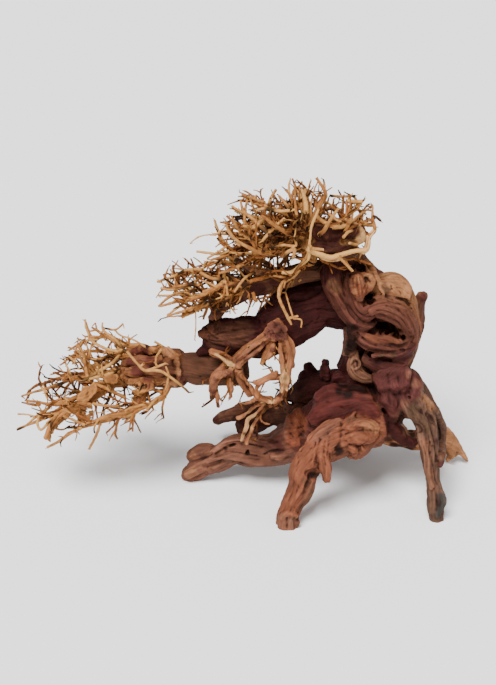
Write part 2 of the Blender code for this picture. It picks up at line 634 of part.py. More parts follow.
def main():
    """Build every piece of the driftwood, from the trunk outwards."""
    for item in list(bpy.data.objects):
        bpy.data.objects.remove(item)

    trunk = grown_wood("trunk", TRUNK)
    root_base = grown_wood("root_base", ROOT_BASE)
    flatten_feet(root_base)
    fit_against(root_base, [trunk])
    upper_limb = grown_wood("upper_limb", UPPER_LIMB)
    fit_against(upper_limb, [trunk, root_base])
    lower_limb = grown_wood("lower_limb", LOWER_LIMB)
    fit_against(lower_limb, [upper_limb])
    wood = [trunk, root_base, upper_limb, lower_limb]

    hanging_root = grown_spray("hanging_root", HANGING_ROOT, wood, [upper_limb, lower_limb])
    left_spray = grown_spray("left_spray", LEFT_SPRAY, wood + [hanging_root], [lower_limb])
    upper_spray = grown_spray("upper_spray", UPPER_SPRAY, wood + [hanging_root, left_spray],
                              [trunk, upper_limb])
    crown_spray = grown_spray("crown_spray", CROWN_SPRAY, wood + [hanging_root, upper_spray],
                              [trunk, upper_spray])

    for body in wood + [hanging_root, left_spray, upper_spray, crown_spray]:
        finish(body)


main()
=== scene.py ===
"""Aquarium driftwood: the finished look of a bonsai-like piece that was glued up from weathered roots.

The tables are text. An entry is a name, a colon and its stations split by ",", and it ends with ";". A
station is x, y, z and radius or reach in millimetres, with +Z up and the front towards -Y. Lengths turn
into metres, and the middle of the box comes to the origin, when a mesh is made. A plate's stations are
its corners, without a radius.
"""
import itertools
import logging
import math
from dataclasses import dataclass, field
from enum import Enum
from typing import Any, Dict, List, Optional, Sequence, Tuple

import bmesh
import bpy
import numpy as np
from bpy.types import ID, Material, Modifier, Node, NodeSocket, NodeTree, Object
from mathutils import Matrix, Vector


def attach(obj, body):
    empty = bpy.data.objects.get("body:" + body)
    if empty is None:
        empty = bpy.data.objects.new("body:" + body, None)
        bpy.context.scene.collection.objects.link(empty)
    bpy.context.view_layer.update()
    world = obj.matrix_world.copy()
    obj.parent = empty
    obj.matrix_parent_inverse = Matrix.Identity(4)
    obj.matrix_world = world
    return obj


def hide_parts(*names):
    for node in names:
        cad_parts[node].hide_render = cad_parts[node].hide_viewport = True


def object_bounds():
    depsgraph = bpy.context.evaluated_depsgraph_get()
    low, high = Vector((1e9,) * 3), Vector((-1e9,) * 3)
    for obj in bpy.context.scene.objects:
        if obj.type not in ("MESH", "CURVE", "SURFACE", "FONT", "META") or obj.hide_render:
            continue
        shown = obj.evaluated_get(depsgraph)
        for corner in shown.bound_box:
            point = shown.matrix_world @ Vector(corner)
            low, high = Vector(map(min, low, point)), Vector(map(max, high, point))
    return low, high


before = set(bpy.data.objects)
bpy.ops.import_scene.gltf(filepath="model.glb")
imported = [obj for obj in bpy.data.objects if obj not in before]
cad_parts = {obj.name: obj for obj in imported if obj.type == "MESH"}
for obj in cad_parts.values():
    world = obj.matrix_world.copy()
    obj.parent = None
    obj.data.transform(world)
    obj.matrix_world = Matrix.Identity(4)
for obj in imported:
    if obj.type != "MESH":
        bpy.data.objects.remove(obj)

CAD_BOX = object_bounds()

Station = Tuple[float, ...]
Routes = Dict[str, Sequence[Station]]
Triple = Tuple[float, float, float]
Colour = Tuple[float, float, float, float]
# Least and most of a random draw
Draw = Tuple[float, float]
Rng = np.random.Generator
# What a Map Range node turns: from low, from high, to low, to high
Range = Tuple[float, float, float, float]
Array = np.ndarray

MM = 0.001
MM_PER_METRE = 1000
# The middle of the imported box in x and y, in the tables' frame
BOX_CENTRE = (4.5, 4.9)
LOG = logging.getLogger("driftwood")


def routes(text: str) -> Routes:
    """Read a table of centre lines.

    Args:
        text: Entries split by ";", each a name, a colon, and stations as x y z radius in mm, split by ",".

    Returns:
        The stations of each entry by name.
    """
    entries = (entry.split(":") for entry in text.split(";") if entry.strip())
    return {name.strip(): [tuple(map(float, station.split())) for station in stations.split(",")]
            for name, stations in entries}


# Centre lines of the roots

ROOT_BASE = routes("""
stump: 121 6 94 17, 116 6 78 23, 98 2 64 27, 73 0 59 24, 54 -2 52 18, 44 -5 46 13;
filler dome: 97 -8 78 18, 77 -12 76 18, 64 -12 69 14;
front leg: 104 -22 65 18, 90 -32 67 16.5, 76 -42 64 14.5, 60 -50 57 12.5, 50 -56 44 11.5,
  46 -60 30 10.3, 39 -64 16 8.8, 36 -67 7 8.8, 35 -68 -6 8.6;
front spur: 62 -56 58 7, 65 -64 50 6, 66 -66 40 4.2;
front knuckle: 98 -32 66 14, 92 -40 58 11, 88 -42 50 7;
right leg: 129 -4 88 16, 140 -18 77 12, 147 -32 65 8.4, 149 -43 50 7.2, 151 -50 33 6.6, 154 -55 16 7.2,
  155 -58 3 6, 156 -59 -7 5.5;
right twin: 135 8 87 12, 146 5 75 9.5, 157 -2 58 7.5, 160 -8 40 6.5, 160 -12 27 4.5;
rear right root: 110 14 50 14, 128 20 37 11, 145 25 28 9, 162 30 26 7.8, 175 32 22 5.6, 184 33 14 3.8,
  191 33 5.5 1.6;
rear fork: 173 32 22 4.6, 179 28 10 2.2;
left leg: 47 -6 46 18, 33 -3 37 15.5, 21 0 32 13, 6 3 30 13.5, -7 5 29 12.5, -21 6 21 11, -32 7 14 9.5,
  -42 7 7 8, -48 7 3 6;
left knuckle: -25 11 23 8.5, -37 13 20 8, -43 13 16 6;
back left root: 51 30 57 14, 28 48 41 10, 8 60 39 8, -9 68 31 6.4, -24 74 21 4.4;
back left stub: 26 48 40 9, 8 50 31 9, -2 50 27 8;
back leg: 100 26 55 18, 93 46 42 15, 90 62 26 12.5, 88 74 9 10, 87 79 -6 9;
dark lobe: 79 24 80 14, 63 28 75 13.5, 49 30 67 11.5, 40 30 62 8.5;
lobe stub a: 63 32 80 7, 56 36 87 5.5, 54 38 92 4;
lobe stub b: 58 36 76 6, 49 38 82 4.5;
lobe stub c: 69 34 79 6, 68 36 88 4.5, 69 38 95 3.5;
""")

TRUNK = routes("""
core: 119 6 96 14, 118 10 111 17, 117 14 128 17, 113 16 148 16, 105 15 167 15, 90 11 184 14.5,
  80 6 198 15, 72 0 211 12;
column: 95 18 142 14, 95 20 125 12.5, 93 20 109 12, 89 20 95 12.5;
outer strand: 71 -4 199 9, 69 -8 190 8.5, 71 -10 179 8, 77 -12 169 8, 84 -13 159 7.5, 92 -14 152 7,
  99 -14 150 5;
folded strand: 88 -8 192 9, 87 -11 178 8, 88 -14 168 8, 95 -17 162 7.5, 103 -18 167 7.5, 112 -18 170 8,
  120 -18 164 8.5, 127 -16 154 8, 131 -13 143 8, 130 -13 133 8, 123 -14 128 7.5, 113 -16 132 7,
  101 -15 135 6.5, 93 -12 139 6;
knot: 90 -8 180 9, 93 -17 189 8;
shoulder: 91 -5 198 4.5, 95 -7 190 5, 102 -8 182 7.5, 113 -8 180 11.5, 120 -6 175 12, 126 -4 163 11,
  130 -2 149 10, 132 0 134 10, 130 2 121 10.5, 124 4 109 12.5, 119 5 98 14;
peg: 136 10 122 5, 141 13 136 5, 141 13 151 5, 142 12 160 4.8, 144 11 165 4.4;
tongue: 91.1 -6 124.2 1.8, 89.4 -9 119.9 3.8, 88.3 -12 114.6 5.4, 90.2 -14 109.2 5.6,
  95.7 -14 104.8 4.6, 102.2 -12 101.9 3.4, 107.2 -9 100.3 2.2;
coil: 128 -4 124 10.5, 121 -8 116 10.5, 111 -9 115 10, 100 -6 118 8;
""")

UPPER_LIMB = routes("""
limb: 82 12 158 22, 63 10 159 21, 46 6 153 22, 31 3 143 21, 16 0 134 18, -2 -3 135 16, -16 -5 136 14,
  -27 -5 136 11;
broken end a: -23 -8 142 8, -34 -10 140 3;
broken end b: -21 -6 129 8, -36 -8 123 2.5;
broken end c: -16 0 139 9, -24 0 149 4;
buttress: 74 14 168 18, 55 12 166 17, 39 10 163 14, 31 6 159 9;
strut: 28 4 178 4.5, 27 2 169 5, 28 0 156 7;
""")

LOWER_LIMB = routes("""
log: -2 0 108 15, -22 0 106 14, -46 -2 107 12, -70 -5 108 11, -86 -7 106 8;
""")

# Sprays and the hanging root: cores and boughs are listed, side twigs grow from them

HANGING_ROOT = routes("""
head: 26 -22 154 6.5, 29 -26 148 8;
left arm: 27 -26 149 6.5, 20 -27 146 6, 11 -27 139 5.5, 1 -25 130 5.5, -5 -23 123 6;
cross arm: -25 -20 129 3, -16 -22 126 4.5, -5 -24 119 5, -1 -25 107 4, 6 -24 94 2.5;
right arm: 29 -27 149 6.5, 35 -30 140 6, 36 -31 129 6, 34 -31 120 5.5, 34 -30 108 5, 31 -29 95 4.2,
  22 -28 86 3.2, 14 -27 78 2.6, 8 -27 66 2, 3 -26 51 1.2;
loop: 33 -30 113 3, 22 -33 113 2.4, 14 -34 109 2, 11 -33 102 2, 15 -31 95 2, 23 -29 92 2.4;
left drop: -13 -22 120 3.5, -21 -22 109 3.8, -23 -22 99 3.2, -24 -22 89 2;
short drop: -8 -24 114 3, -11 -25 104 2.4, -9 -25 92 1.4;
splint: 25 -28 145 3, 20 -30 134 3.4, 15 -30 123 2;
""")

LEFT_SPRAY = routes("""
core: -50 -2 107 15, -62 -3 107 15.5, -76 -5 107 13, -89 -6 104 9.5, -100 -6 101 6;
collar: -53 -8 119 5, -66 -4 124 6, -78 4 121 4;
bough 1: -75 6 114 4.5, -83 16 118 3.5, -99 28 114 3, -112 38 117 2.5, -125 43 114 2, -130 45 127 1;
bough 2: -83 4 111 4.5, -96 12 111 3.5, -111 20 100 3, -126 25 96 2.6, -132 28 107 2, -135 29 113 1;
bough 3: -89 -5 104 5, -100 -4 99 4.5, -122 0 99 3.5, -146 6 93 2.6, -166 10 87 1.8, -180 12 76 1;
bough 4: -87 -8 99 5, -104 -14 98 4.5, -122 -18 93 4, -133 -19 89 3.2, -150 -18 82 2.4, -164 -17 81 1.8,
  -181 -16 73 1;
bough 5: -98 -10 100 4, -116 -22 93 5, -127 -29 87 6, -139 -35 86 4.2, -150 -42 77 3, -155 -46 67 2,
  -153 -48 60 1;
bough 6: -74 -12 104 5, -79 -26 94 5.5, -88 -36 84 4.5, -106 -44 85 3, -122 -50 81 2.4, -135 -53 72 1.6,
  -149 -54 65 1;
bough 7: -56 -10 103 4, -63 -26 94 3.2, -73 -34 90 2.4, -82 -40 88 1.4;
bough 8: -104 -14 98 4, -118 -13 88 3.2, -131 -10 80 3, -150 -4 68 2.4, -168 0 58 1.6, -185 2 50 1;
bough 9: -77 6 110 4, -95 28 102 3, -114 44 100 2.4, -134 54 96 1.8, -150 60 87 1;
bough 10: -91 0 104 4, -114 22 92 3, -136 36 84 2.4, -156 46 75 1.6, -172 52 65 1;
""")

UPPER_SPRAY = routes("""
core: 78 2 197 9, 62 0 191 8.5, 45 -2 189 8, 29 -4 184 7.5, 15 -5 181 7, 2 -6 176 6.5, -9 -6 170 5.5,
  -17 -5 162 5, -22 -4 153 4.5;
bough 1: 34 -4 186 3.1, 20 0 188 2.8, 3 6 189 2.5, -5 10 195 2.2, -10 13 202 1.9, -18 17 214 1.6,
  -22 20 225 1;
bough 2: 15 -4 181 3.1, 3 4 181 2.8, -10 12 179 2.3, -26 20 179 1.9, -44 27 178 1.4, -67 34 168 0.9;
bough 3: 3 -6 177 3.1, -13 -6 175 2.8, -30 -2 174 2.3, -47 2 175 1.7, -64 5 173 0.9;
bough 4: -2 -8 176 3.1, -13 -16 174 2.6, -26 -26 173 2.2, -40 -33 171 1.6, -57 -38 168 0.9;
bough 5: -8 -7 172 2.8, -27 -14 175 2.3, -45 -20 174 1.7, -64 -25 170 0.9;
bough 6: -14 -7 166 2.6, -24 -18 168 2.2, -34 -26 168 1.7, -46 -32 164 0.9;
bough 7: 8 -8 180 2.8, -2 -22 188 2.3, -15 -34 191 1.9, -29 -42 187 1.4, -39 -46 184 0.9;
bough 8: 20 -2 181 2.8, 11 16 183 2.3, -2 30 184 1.9, -15 40 182 1.4, -30 46 180 0.9;
bough 9: 31 -2 184 2.8, 22 16 188 2.3, 11 32 190 1.9, 1 44 189 1.4, -10 50 189 0.9;
""")

CROWN_SPRAY = routes("""
core: 85 2 218 8, 71 0 222 11, 54 -2 220 12, 37 -3 216 10.5, 21 -3 213 8, 8 -3 211 5;
front core: 52 -12 202 5.5, 51 -14 213 6.5, 49 -10 221 7.5;
top core: 59 0 221 9, 54 6 228 7, 48 12 234 5;
pale front root: 50 -18 214 4.2, 56 -26 215 3.6, 66 -31 212 3.4, 76 -31 214 3.4, 87 -28 217 3.4,
  94 -22 216 3.6, 97 -18 225 3, 101 -16 230 2.6, 99 -14 239 1.6;
front twig: 76 -31 213 1.8, 83 -33 203 0.9;
tall root: 50 -16 217 4, 52 -22 235 3.4, 58 -20 249 2.8, 63 -16 258 2.4, 56 -12 270 1.6;
hanging twig: 50 -14 206 3.4, 40 -26 197 2.8, 31 -31 192 2.4, 28 -33 182 2, 33 -33 169 1.7,
  38 -32 158 1;
hanging fork: 35 -32 163 1.5, 43 -34 166 0.8;
bough 1: 40 -10 213 3.4, 27 -26 215 2.9, 14 -36 219 2.5, 3 -42 226 2, -7 -46 235 1.6, -12 -48 245 0.9;
bough 2: 32 -4 214 3.4, 20 -12 218 2.9, 7 -18 223 2.5, -2 -22 231 1.9, -8 -25 244 0.9;
bough 3: 45 -6 219 3.4, 29 -8 226 2.9, 16 -10 236 2.3, 3 -10 240 1.6, -8 -8 246 0.9;
bough 4: 48 4 222 3.4, 36 14 230 2.8, 23 22 234 2.3, 11 28 236 1.7, 0 32 241 0.9;
bough 5: 51 4 229 3.1, 46 6 240 2.5, 48 10 248 2, 49 12 255 0.9;
bough 6: 45 8 224 3.1, 39 20 235 2.5, 39 28 242 1.9, 42 32 248 0.9;
bough 7: 59 4 224 3.4, 72 14 225 2.8, 86 22 231 2.2, 94 26 239 1;
bough 8: 68 4 217 3.4, 81 16 218 2.8, 94 24 219 2, 104 28 217 0.9;
bough 9: 57 -8 221 3.4, 70 -22 225 2.8, 78 -28 234 2.2, 83 -30 247 1;
bough 10: 42 6 217 3.4, 31 24 217 2.8, 20 40 215 2.2, 9 50 213 1.4, 0 56 211 0.9;
bough 11: 54 8 222 3.4, 58 28 226 2.6, 65 42 226 2, 74 52 226 1;
bough 12: 29 0 211 3.1, 15 14 208 2.5, 3 26 208 2, -10 34 208 1.4, -23 40 206 0.9;
bough 13: 71 6 219 3.2, 80 26 218 2.5, 89 42 216 1.9, 97 52 214 0.9;
bough 14: 53 -10 221 3.1, 60 -34 234 2.3, 65 -44 247 1.9, 71 -48 258 0.9;
bough 15: 44 -8 218 3.1, 36 -30 231 2.5, 25 -42 242 1.9, 15 -48 252 0.9;
bough 16: 14 -3 212 3.4, 2 -5 209 2.5, -11 -8 206 1.8, -24 -10 203 0.9;
bough 17: 22 -4 213 3.4, 10 -18 208 2.5, -4 -28 204 1.8, -18 -34 201 0.9;
""")


class Tone(Enum):
    """Skin colours of the roots, as sRGB hex."""

    ORANGE = "673B29"
    RUST = "643F30"
    TRUNK = "4F2C23"
    GREY = "4F372B"
    MOSS = "412E21"
    SLATE = "322D29"
    SHIN = "644130"
    TAN = "8F6040"
    # PALE also gives painted highlights on the hanging root
    PALE = "BC9160"
    GOLD = "895930"
    # Besides dark and charred wood, DARK, CHAR and LOG also give painted shade and shadow in some patches
    DARK = "321412"
    CHAR = "140906"
    LOG = "523324"
    FILLER = "44221F"
    DOME = "421D19"
    JOWL = "613322"
    BURL = "653825"
    OLIVE = "5E3E2E"
    WORN = "7B4C31"
    # SHOULDER also gives a painted highlight on the trunk's left strand
    SHOULDER = "7F5637"


# How much of the relief is worn away on some skins
WORN_SMOOTH = {Tone.DOME: 0.75, Tone.FILLER: 0.5, Tone.OLIVE: 0.4}

Patch = Tuple[float, float, float, float, Tone, float]


def patches(text: str) -> List[Patch]:
    """Read a table of colour patches.

    Args:
        text: A table as routes() reads it, named by tone and share, with the reach in place of the radius.

    Returns:
        The patches in the table's order.
    """
    found = []
    for entry in filter(str.strip, text.split(";")):
        head, stations = entry.split(":")
        tone, share = head.split()
        for station in stations.split(","):
            x, y, z, reach = map(float, station.split())
            found.append((x, y, z, reach, Tone[tone.upper()], float(share)))
    return found


# Patches of colour on the skin, and the finer strands, hollows, plates, sticks, spots and creases

# Some of these patches are painted shade and shadow: log on the right side of the lower front leg, char in
# the knuckle's pocket and in the slot under the spur, and char on the dome's top with dark behind it, between
# the tongue and the dome
BASE_PAINT = patches("""
dome 0.95: 58 -27 77 9, 67 -25 86 11, 68 -31 79 9, 77 -25 90 12, 78 -31 81 9, 88 -29 89 12,
  96 -31 87 10, 104 -33 83 7;
filler 0.95: 113 -24 103 9, 118 -26 93 11, 124 -26 104 9, 127 -23 94 8, 118 -29 84 9, 115 -26 72 8,
  135 -17 103 9, 135 -23 96 8;
dark 0.9: 116 -31 63 8, 126 -22 53 8, 135 -22 49 7, 119 -22 65 7, 124 -22 60 7, 120 6 37 6, 130 16 26 6,
  140 18 23 5, 139 -21 49 5, 142 17 37 4, 139 -35 62 4, 126 14 29 5;
filler 0.9: 113 -21 111 7, 121 -22 112 8, 129 -22 110 7, 110 -24 103 6, 117 -26 103 7, 128 -25 102 7,
  112 -28 92 7;
log 0.8: 52 -67 36 5, 52 -68 31 5, 50 -69 24 5, 48 -69 18 4;
char 0.8: 75 -56 63 4, 76 -56 59 4;
moss 0.5: 91 -46 83 4, 85 -46 82 4, 48 -69 41 3;
dark 0.8: 157 -53 47 4, 159 -46 52 3, 155 -41 61 3;
rust 0.75: -20 67 27 5, -12 62 33 6, -5 59 39 6, 28 35 48 6, 35 27 56 5, 23 40 41 5;
char 0.93: 74 0 93 6, 80 -13 96 6, 88 -16 95 6, 97 -17 95 6, 105 -11 91 5, 85 -23 94 5, 77 -21 96 4;
dark 0.9: 76 1 100 8, 83 0 97 7, 72 16 90 6;
rust 0.6: 69 -48 78 6, 64 -51 73 6, 58 -53 71 5, 74 -44 81 4;
tan 0.4: 104 -49 77 6, 97 -51 80 5;
log 0.85: 55 -64 25 6;
char 0.85: 53 -62 42 3.5, 58 -62 42 4;
slate 0.75: 159 -62 21 5, 157 -65 14 5, 155 -66 6 4;
grey 0.5: 34 -76 8 8, 42 -74 6 7;
jowl 0.9: 43 -11 69 8, 43 -19 61 9, 42 -23 51 8, 48 -13 65 6;
moss 0.8: 135 -31 84 6, 139 -35 80 6, 145 -40 74 6, 150 -42 69 5, 160 -12 50 5, 157 -8 63 5;
shin 0.85: 143 -47 61 7, 144 -52 52 7, 147 -58 41 7, 149 -61 31 6;
slate 0.9: 158 -61 22 4, 158 -64 16 4, 156 -65 10 4;
log 0.7: 160 -32 52 4, 158 -47 52 4;
tan 0.5: 146 -20 89 5, 150 -22 83 5;
rust 0.6: 138 -19 102 5, 132 -21 110 4, 129 -26 87 4;
tan 0.35: -43 -4 11 7, -43 7 23 4;
dark 0.6: 18 -15 46 8, 28 -15 49 8, 30 -18 43 6;
char 0.9: 4 -6 32 3.4, -9 -2 37 3, -14 -3 35 2.5;
rust 0.8: -20 67 27 7, -12 62 32 5;
filler 0.7: 49 -20 49 4, 44 -23 45 4, 53 -19 56 3;
log 0.6: -3 43 30 4, 1 42 28 4;
filler 0.8: -24 69 25 4;
""")

LIMB_PAINT = patches("""
log 0.7: -25 -13 147 6, -29 -14 143 5, -21 -9 149 4;
orange 0.55: -33 -13 141 4, -30 -14 141 4, -26 -15 144 4;
log 0.6: -23 -18 138 8, -11 -16 145 9, 1 -13 147 9, -1 -20 139 8;
""")

LEFT_PAINT = patches("""
dome 0.9: -90 -14 118 5, -85 -6 123 5, -78 -9 126 5, -73 -17 120 6, -83 -20 113 6, -75 -27 110 5;
tan 0.8: -58 -25 131 5, -64 -9 126 3, -51 -17 119 4, -50 -20 112 4, -60 -22 102 4, -56 -21 102 4;
char 0.8: -76 -7 128 3, -87 -31 98 3, -68 -27 102 3;
orange 0.6: -75 -27 105 5, -82 -32 93 5;
""")

# The pale patches are painted highlights on the arms
HANG_PAINT = patches("""
trunk 0.9: 26 -29 157 5, 24 -31 154 6, 30 -33 154 6, 21 -33 150 5, 27 -35 149 4, 33 -35 149 4;
dark 0.8: 27 -35 150 2.5, 17 -34 142 2.5, 11 -35 135 3, 24 -35 138 3, 35 -36 128 2.5, 33 -41 116 2.5,
  29 -32 97 3, -3 -28 125 3, -18 -22 118 3, -21 -31 111 3, -23 -30 100 3, -10 -32 116 3, 3 -36 130 3,
  6 -30 74 2, 2 -30 62 2;
rust 0.55: 3 -35 134 6, 9 -35 140 5, -3 -28 125 5, -13 -32 117 5;
pale 0.5: 34 -36 122 5, 33 -41 115 5, 32 -40 106 4, -19 -28 129 4, -10 -32 124 4;
char 0.8: -24 -30 94 3, -20 -32 88 3;
rust 0.55: -20 -24 114 4, -23 -30 110 4, -23 -30 104 4;
pale 0.5: -16 -30 127 4, -11 -31 124 4, 17 -30 91 4, 23 -35 94 3, 3 -30 68 6, 7 -30 77 5, -1 -30 57 5;
""")

# The dark patches on the neck masses are painted shade inside the crown
CROWN_PAINT = patches("""
dark 0.95: 56 -27 232 9, 69 -28 233 10, 82 -27 232 9, 57 -29 220 9, 69 -31 220 10, 83 -31 218 9;
""")

UPPER_PAINT = patches("""
dark 0.8: -20 -11 161 6, -5 -12 169 7, 12 -12 178 8, 29 -12 185 8;
rust 0.7: -23 -10 154 4;
tan 0.8: 11 -17 197 5, 23 -13 192 5;
""")

# The shoulder-coloured patches on the left strand are a painted highlight
TRUNK_PAINT = patches("""
dark 0.9: 64 -12 198 9, 63 -14 190 7, 70 -15 198 8, 79 -10 197 8, 88 -8 197 6;
shoulder 0.45: 70 -17 185 5, 74 -18 180 4;
burl 0.9: 87 -25 191 6, 88 -27 183 5;
tan 0.6: 88 -25 193 4, 87 -26 183 3, 95 -21 194 3;
olive 0.5: 83 -23 188 4, 93 -25 190 3, 73 -17 181 4, 70 -17 186 4;
tan 0.75: 99 -21 189 5, 97 -21 193 4;
rust 0.8: 91 -25 176 3;
tan 0.8: 115 -19 189 6, 121 -19 188 9, 127 -20 183 8, 128 -20 177 5;
tan 0.9: 98 1 195 4, 100 -4 194 4, 101 -10 193 4, 103 -15 190 4, 106 -18 188 4, 109 -21 183 4;
moss 0.7: 112 -20 182 3.5, 110 -20 184 3;
orange 0.85: 99 -20 142 4, 105 -20 141 5, 114 -20 140 5, 121 -22 139 4;
dark 0.6: 103 -16 118 8, 111 -18 118 8, 118 -18 118 8;
filler 0.8: 124 -20 125 7, 130 -18 126 7, 133 -22 132 5, 128 -17 117 6;
moss 0.65: 110 -22 127 3.5, 118 -23 128 3.5;
char 0.85: 83 -18 147 6, 86 -18 139 6, 88 -15 131 6, 83 -13 126 5, 88 -18 149 4, 83 -15 134 5;
char 0.9: 99 -10 110 5, 105 -4 102 5;
olive 0.95: 89 -11 122 5, 88 -16 118 7, 89 -19 112 7, 96 -18 107 6, 104 -15 103 5;
dark 0.7: 143 7 164 4;
""")

TRUNK_STRANDS = routes("""
left ridge: 65.5 -15.5 189 1.2, 66 -17.5 182.5 1.8, 72.5 -18.5 177.5 1.8, 77.5 -20.5 170 1.7,
  81.5 -22 162 1.7, 88.5 -22.5 155 1.6, 95.5 -22 151.5 1.2;
knob: 99.5 -18 150.5 2, 103 -13 151 2.6, 104.5 1.5 147 1.6;
lath: 97 4.5 196.5 1.6, 101 0 194 2.2, 103 -9 192 2.2, 105 -15 188 2.4, 108 -18 184 2.6,
  110 -20 180 2.4, 108.5 -21 176 1.8;
burl face: 88 -19 192 6, 89 -20 187 7, 90 -22 182 6, 91 -22 175 3;
burl rib a: 85 -20 192 1.5, 86 -22.5 186.5 1.7, 87.5 -25 180 1.5;
burl rib b: 88.5 -23 194 1.5, 90.5 -25.5 188.5 1.7, 91 -26.5 181.5 1.6, 92 -22.5 174.5 1.4;
burl rim: 91 -18.5 194.5 1.6, 96 -19 194 2.2, 100 -20 192 2.5, 101 -20 188 2.5, 99 -21 184 2.4,
  96 -21 181.5 2, 94.5 -22 179 1.6;
burl tip: 90 -22 178 2.4, 91.5 -22 174.5 2;
fold a: 99 -26 166 3, 107 -25 169 4, 116 -27 167 4.6, 124 -29 162 4.4, 129 -29 155 3.6, 132 -26 148 2.4;
fold b: 103.5 -24 162.5 2, 110 -24 162 3.2, 118 -25 159 3.4, 123 -26 155 3, 127.5 -26 151 2;
fold c: 111 -24 172 2.5, 118 -26 170 3.5, 126 -26 166 3.6, 132 -26 158 3.2, 135 -24 149 2.6,
  134 -22 140 2;
spike a: 105 -18 141.5 1.7, 107 -13 143.5 1.4, 108.5 -1.5 141.5 1;
spike b: 110 -17 141 1.7, 111.5 -13 143 1.4, 115.5 -3 141 1;
spike c: 113.5 -18.5 140 1.8, 117 -14.5 142 1.5, 121.5 -4.5 140 1.1;
spike d: 120.5 -6.5 134 1.7, 122.5 -7.5 138 1.4, 123 -6.5 140.5 1;
lip: 92.5 -16.5 146 2, 97 -18 142 2.6, 106 -18 140 2.8, 114 -18 140 2.8, 122 -20 138 2.6,
  130 -20 140 2.4, 134 -19.5 144.5 2;
green lip: 102.5 -20.5 126 1.4, 110 -20.5 127.5 1.8, 118.5 -21.5 127 1.8, 126 -21.5 128.5 1.4;
shoulder lip: 120 -19 176.5 1.2, 124.5 -19 177 1.9, 129 -18.5 175 1.9, 130.5 -17 170.5 1.2;
shoulder cap: 108 -14 187 3, 114 -14 187 5, 121 -14 186 6, 126 -15 181 6, 128 -16 177 4;
right strand: 131 -14 172 1.5, 133 -15 166 2.2, 136 -16 157 2.4, 138 -18 148 2.4, 136 -20 138 2.2,
  133 -20 131 1.6;
knot ring: 85.5 -18 118.5 1.2, 87 -16.5 121 1.2, 90.5 -15.5 121.5 1.2, 93 -16.5 118.5 1.2,
  92.5 -18.5 115.5 1.2, 89 -19.5 114 1.2;
gap fill: 95 2 114 4.5, 98 2 108 5.5, 103 2 102 6, 110 2 98 5;
dark strand: 81.5 -2 144 1.6, 82.5 -4.5 136.5 2, 82 -6 127.5 2, 81 -8 121 1.6;
column fill: 85 -14 148 4, 86 -13 140 5, 86 -10 130 5, 85 -10 123 4;
""")

TRUNK_HOLLOWS = routes("""
upper hole: 92 -14 198 4.2, 92 -3 193 3.4;
burl hole a: 100 -3 171 3.6, 101 11 165 2.9;
burl hole b: 99 -22 174 3.8, 100 -8 168 3;
cavity: 105 0 144 2.2, 110 0 144 3.2, 116 -5 145 3.4, 120 -14 147 3, 125 -20.5 147.5 1.8;
cavity deep: 107 5 142 2.6, 113 1 143 3.2, 119 -8 145 3, 123.5 -15 146 2;
corner hole: 126 -22 143 2.4, 126.5 -12.5 138.5 1.9;
column hole: 89 -7 130 4, 90 4 126 3.2;
under lip: 99 -19 129 2.4, 105 -20 130 2.4, 112.5 -21.5 130 2, 121 -22 130 1.8, 127 -21 131.5 1.4;
under hole: 102 -14 125 3.2, 103 -5 121 2.6;
low hole: 110.5 -15 121.5 1.6, 114 -15.5 121 2, 118 -16 121 1.4;
shoulder slot: 115 -19 185.5 1, 115.5 -19.5 181.5 1.2;
""")

